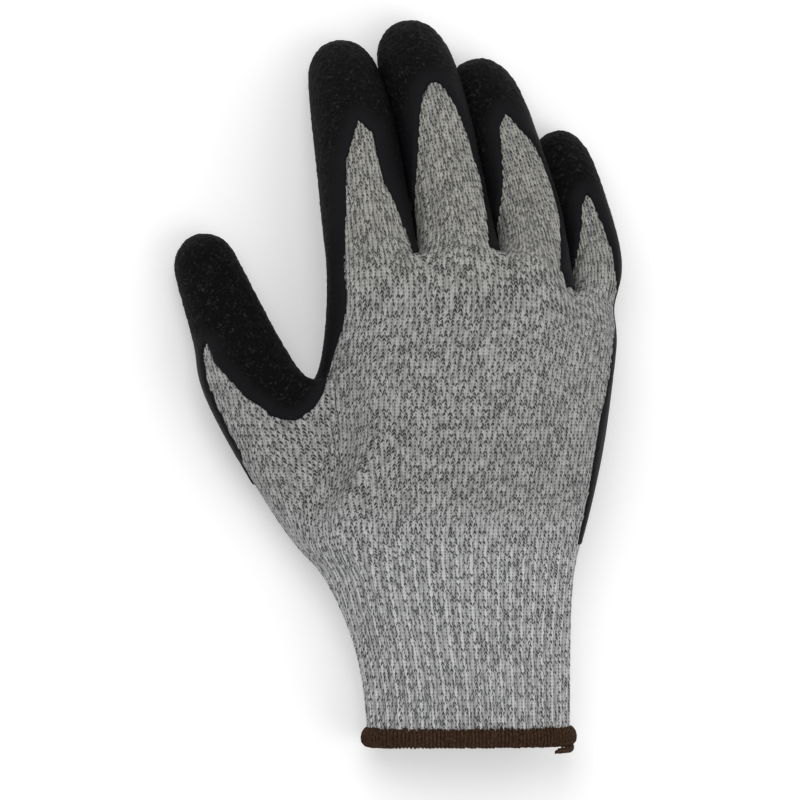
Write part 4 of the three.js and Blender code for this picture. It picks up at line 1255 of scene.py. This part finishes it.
def wrapped_yarn(name, spots, shape, yarn):
    """Puts a copy of a shape on each spot, turned as the spot's attribute says, with Geometry Nodes.

    Spots are (place, turn) pairs in metres and radians.
    """
    mesh = bpy.data.meshes.new(name)
    mesh.from_pydata([tuple(place) for place, _ in spots], [], [])
    turn = mesh.attributes.new("turn", "FLOAT_VECTOR", "POINT")
    turn.data.foreach_set("vector", np.array([tuple(t) for _, t in spots], np.float32).ravel())
    holder = bpy.data.objects.new(name, mesh)
    bpy.context.scene.collection.objects.link(holder)

    tree = bpy.data.node_groups.new(f"{name}_tree", "GeometryNodeTree")
    tree.interface.new_socket("Geometry", in_out="INPUT", socket_type="NodeSocketGeometry")
    shape_in = tree.interface.new_socket("Yarn shape", in_out="INPUT", socket_type="NodeSocketObject")
    size_in = tree.interface.new_socket("Yarn size", in_out="INPUT", socket_type="NodeSocketFloat")
    vary_in = tree.interface.new_socket("Size variation", in_out="INPUT", socket_type="NodeSocketFloat")
    seed_in = tree.interface.new_socket("Seed", in_out="INPUT", socket_type="NodeSocketInt")
    material_in = tree.interface.new_socket("Yarn", in_out="INPUT", socket_type="NodeSocketMaterial")
    tree.interface.new_socket("Geometry", in_out="OUTPUT", socket_type="NodeSocketGeometry")
    put, link = tree.nodes.new, tree.links.new
    start, end = put("NodeGroupInput"), put("NodeGroupOutput")
    info = put("GeometryNodeObjectInfo")
    link(start.outputs["Yarn shape"], info.inputs["Object"])
    turned = put("GeometryNodeInputNamedAttribute")
    turned.data_type = "FLOAT_VECTOR"
    turned.inputs["Name"].default_value = "turn"
    rotation = put("FunctionNodeEulerToRotation")
    link(turned.outputs["Attribute"], rotation.inputs[0])
    spread = put("FunctionNodeRandomValue")
    spread.data_type = "FLOAT"
    low, high = put("ShaderNodeMath"), put("ShaderNodeMath")
    low.operation, high.operation = "SUBTRACT", "ADD"
    for node in (low, high):
        link(start.outputs["Yarn size"], node.inputs[0])
        link(start.outputs["Size variation"], node.inputs[1])
    floats = [socket for socket in spread.inputs if socket.type == "VALUE"]
    link(low.outputs[0], floats[0])
    link(high.outputs[0], floats[1])
    link(start.outputs["Seed"], spread.inputs["Seed"])
    copies = put("GeometryNodeInstanceOnPoints")
    link(start.outputs["Geometry"], copies.inputs["Points"])
    link(info.outputs["Geometry"], copies.inputs["Instance"])
    link(rotation.outputs[0], copies.inputs["Rotation"])
    link([socket for socket in spread.outputs if socket.type == "VALUE"][0], copies.inputs["Scale"])
    real, paint = put("GeometryNodeRealizeInstances"), put("GeometryNodeSetMaterial")
    link(copies.outputs[0], real.inputs[0])
    link(real.outputs[0], paint.inputs["Geometry"])
    link(start.outputs["Yarn"], paint.inputs["Material"])
    link(paint.outputs[0], end.inputs[0])

    modifier = holder.modifiers.new(name, "NODES")
    modifier.node_group = tree
    modifier[shape_in.identifier] = shape
    modifier[size_in.identifier] = WRAP_SIZE
    modifier[vary_in.identifier] = WRAP_VARIATION
    modifier[seed_in.identifier] = WRAP_SEED
    modifier[material_in.identifier] = yarn
    graph = bpy.context.evaluated_depsgraph_get()
    finished = bpy.data.meshes.new_from_object(holder.evaluated_get(graph))
    holder.modifiers.remove(modifier)
    holder.data = finished
    finished.polygons.foreach_set("use_smooth", np.full(len(finished.polygons), True))
    return holder


def loop_shape(name, points, faces):
    """A shape in metres that is only copied, and then thrown away."""
    mesh = bpy.data.meshes.new(name)
    mesh.from_pydata([tuple(point) for point in points], [], faces)
    obj = bpy.data.objects.new(name, mesh)
    bpy.context.scene.collection.objects.link(obj)
    return obj


def hem_wraps():
    """The overlock yarn, wrapped over the hem a little unevenly."""
    path = [(WRAP_BEND * math.sin(step * 0.5), up, out) for step, (out, up) in enumerate(WRAP_PROFILE)]
    points, faces = yarn_tube(path, WRAP_YARN, WRAP_SIDES)
    shape = loop_shape("wrap_shape", points / 1000, faces)
    uneven = np.random.default_rng(5).uniform(-1, 1, (WRAP_COUNT, 3))
    spots = []
    for point, normal, vary in zip(*even(*cuff_rim(), WRAP_COUNT), uneven):
        out = Vector(normal)
        tilt = WRAP_TILT * vary[0]
        along = Vector((tilt * normal[2], 1, -tilt * normal[0])).normalized()
        across = along.cross(out)
        turn = Matrix((across, along, out)).transposed().to_euler()
        shift = np.array(across) * WRAP_SHIFT[0] * vary[1]
        spots.append((in_frame([[point[0] + shift[0], WRAP_SHIFT[1] * vary[2], point[2] + shift[2]]])[0], turn))
    wraps = wrapped_yarn("hem_wraps", spots, shape, HEM)
    bpy.data.objects.remove(shape)
    for corner in wraps.data.vertices:
        corner.co.z = max(corner.co.z, 0.0)
    return wraps


def thread_tail():
    """The chained end of the stitching: a short twisted bundle that comes out of the hem's corner."""
    half_width, half_depth = (CUFF_RIM[half] + HEM_OUTSIDE / 2 for half in ("half_width", "half_depth"))
    below = SKIN_GAP + TAIL_THICKNESS / 2
    places = TAIL_START + [(around, -below - (hang - 0.5) * TAIL_THICKNESS) for around, hang in TAIL_ROUTE[::-1]]
    route = [(CUFF_RIM["centre"] + around * half_width, up, CUFF_RIM["rise"] + half_depth * section_height(around))
             for around, up in places]
    route = np.array(route)
    places = np.linspace(0, len(route) - 1, TAIL_STEPS)
    smooth = np.stack([np.interp(places, np.arange(len(route)), route[:, k]) for k in range(3)], axis=1)
    for _ in range(TAIL_SMOOTHING):
        smooth[1:-1] = (smooth[:-2] + smooth[1:-1] * 2 + smooth[2:]) / 4
    points, faces = [], []
    for ply, frayed in enumerate(PLY_FRAY):
        turns = np.linspace(0, math.tau * PLY_TURNS, len(smooth)) + ply * math.tau / len(PLY_FRAY)
        strand = smooth + np.stack([0.3 * np.sin(turns), np.cos(turns), np.sin(turns)], axis=1) * PLY_OFFSET
        steps = len(smooth) - frayed
        tube, cells = yarn_tube(strand[:steps], np.linspace(*PLY_RADIUS, steps), PLY_SIDES)
        faces += [tuple(corner + len(points) for corner in cell) for cell in cells]
        points += tube.tolist()
    return new_object("hem_thread_end", points, faces, HEM)


def round_ends(piece):
    """The binding stands out further and rounder at its two side ends."""
    for corner in piece.data.vertices:
        across, up, _ = np.array(corner.co) * 1000 + ORIGIN
        from_middle = across - CUFF_RIM["centre"]
        beyond = min(max((abs(from_middle) - CUFF_RIM["half_width"]) / HEM_THICKNESS, 0), 1)
        rounding = max(1 - ((up - HEM_HEIGHT / 2) / END_HALF_HEIGHT) ** 2, 0)
        corner.co.x += math.copysign(END_SWELL * beyond * rounding, from_middle) / 1000


band = hem_band()
wraps = hem_wraps()
for ring in (band, wraps):
    round_ends(ring)
tail = thread_tail()


# Floor, light and camera


def make_floor():
    mesh = bpy.data.meshes.new("floor")
    size = 3.0
    mesh.from_pydata([(-size, -size, 0), (size, -size, 0), (size, size, 0), (-size, size, 0)], [], [(0, 1, 2, 3)])
    mesh.materials.append(floor_material())
    obj = bpy.data.objects.new("floor", mesh)
    bpy.context.scene.collection.objects.link(obj)
    return obj


def area_light(name, place, target, size, power):
    lamp = bpy.data.lights.new(name, "AREA")
    lamp.shape = "DISK"
    lamp.size = size
    lamp.energy = power
    obj = bpy.data.objects.new(name, lamp)
    obj.location = place
    obj.rotation_euler = (Vector(target) - Vector(place)).to_track_quat("-Z", "Y").to_euler()
    bpy.context.scene.collection.objects.link(obj)
    return obj


def make_camera():
    """A long lens over the thumb side, square to the dip's lean."""
    picture_middle = PICTURE_SIZE / 2
    across = (picture_middle - HEM_PIXEL[0]) / PICTURE_SCALE
    up = (HEM_PIXEL[1] - picture_middle) / PICTURE_SCALE
    hem_across = np.array([CUFF_RIM["centre"], 0, CUFF_RIM["rise"]]) @ LEAN_ACROSS
    aim = LEAN_ACROSS * (hem_across + across) + np.array([0, up, 0]) + LEAN_OUT * FOCUS_HEIGHT
    lens = bpy.data.cameras.new("camera")
    lens.sensor_width = SENSOR_WIDTH
    lens.lens = SENSOR_WIDTH * CAMERA_DISTANCE * PICTURE_SCALE / PICTURE_SIZE
    lens.clip_start, lens.clip_end = 0.05, 20
    obj = bpy.data.objects.new("camera", lens)
    out, up_way = Vector(LEAN_OUT), Vector((0, 1, 0))
    turn = Matrix((up_way.cross(out), up_way, out)).transposed()
    place = Vector(in_frame([aim])[0]) + out * CAMERA_DISTANCE / 1000
    obj.matrix_world = Matrix.Translation(place) @ turn.to_4x4()
    bpy.context.scene.collection.objects.link(obj)
    bpy.context.scene.camera = obj


floor = make_floor()
area_light("key", (-0.5, 0.7, 1.5), (0, 0, 0.02), 1.2, 11)
area_light("fill", (0.9, -0.5, 1.3), (0, 0, 0.02), 1.4, 6)
world = bpy.data.worlds.new("studio")
world.use_nodes = True
world.node_tree.nodes["Background"].inputs[0].default_value = (1, 1, 1, 1)
world.node_tree.nodes["Background"].inputs[1].default_value = 0.55
bpy.context.scene.world = world
bpy.context.scene.view_settings.view_transform = "Standard"
make_camera()

for piece in [lining, *knit_pieces, *latex_pieces, band, wraps, tail]:
    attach(piece, "root")
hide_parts("knit_cuff", "knit_hand", "knit_thumb", "knit_index", "knit_middle", "knit_ring", "knit_little")
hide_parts("latex_hand")
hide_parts("latex_thumb")
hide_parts("latex_index", "latex_middle", "latex_ring", "latex_little")
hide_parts("hem_binding")
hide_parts("hem_thread_tail")
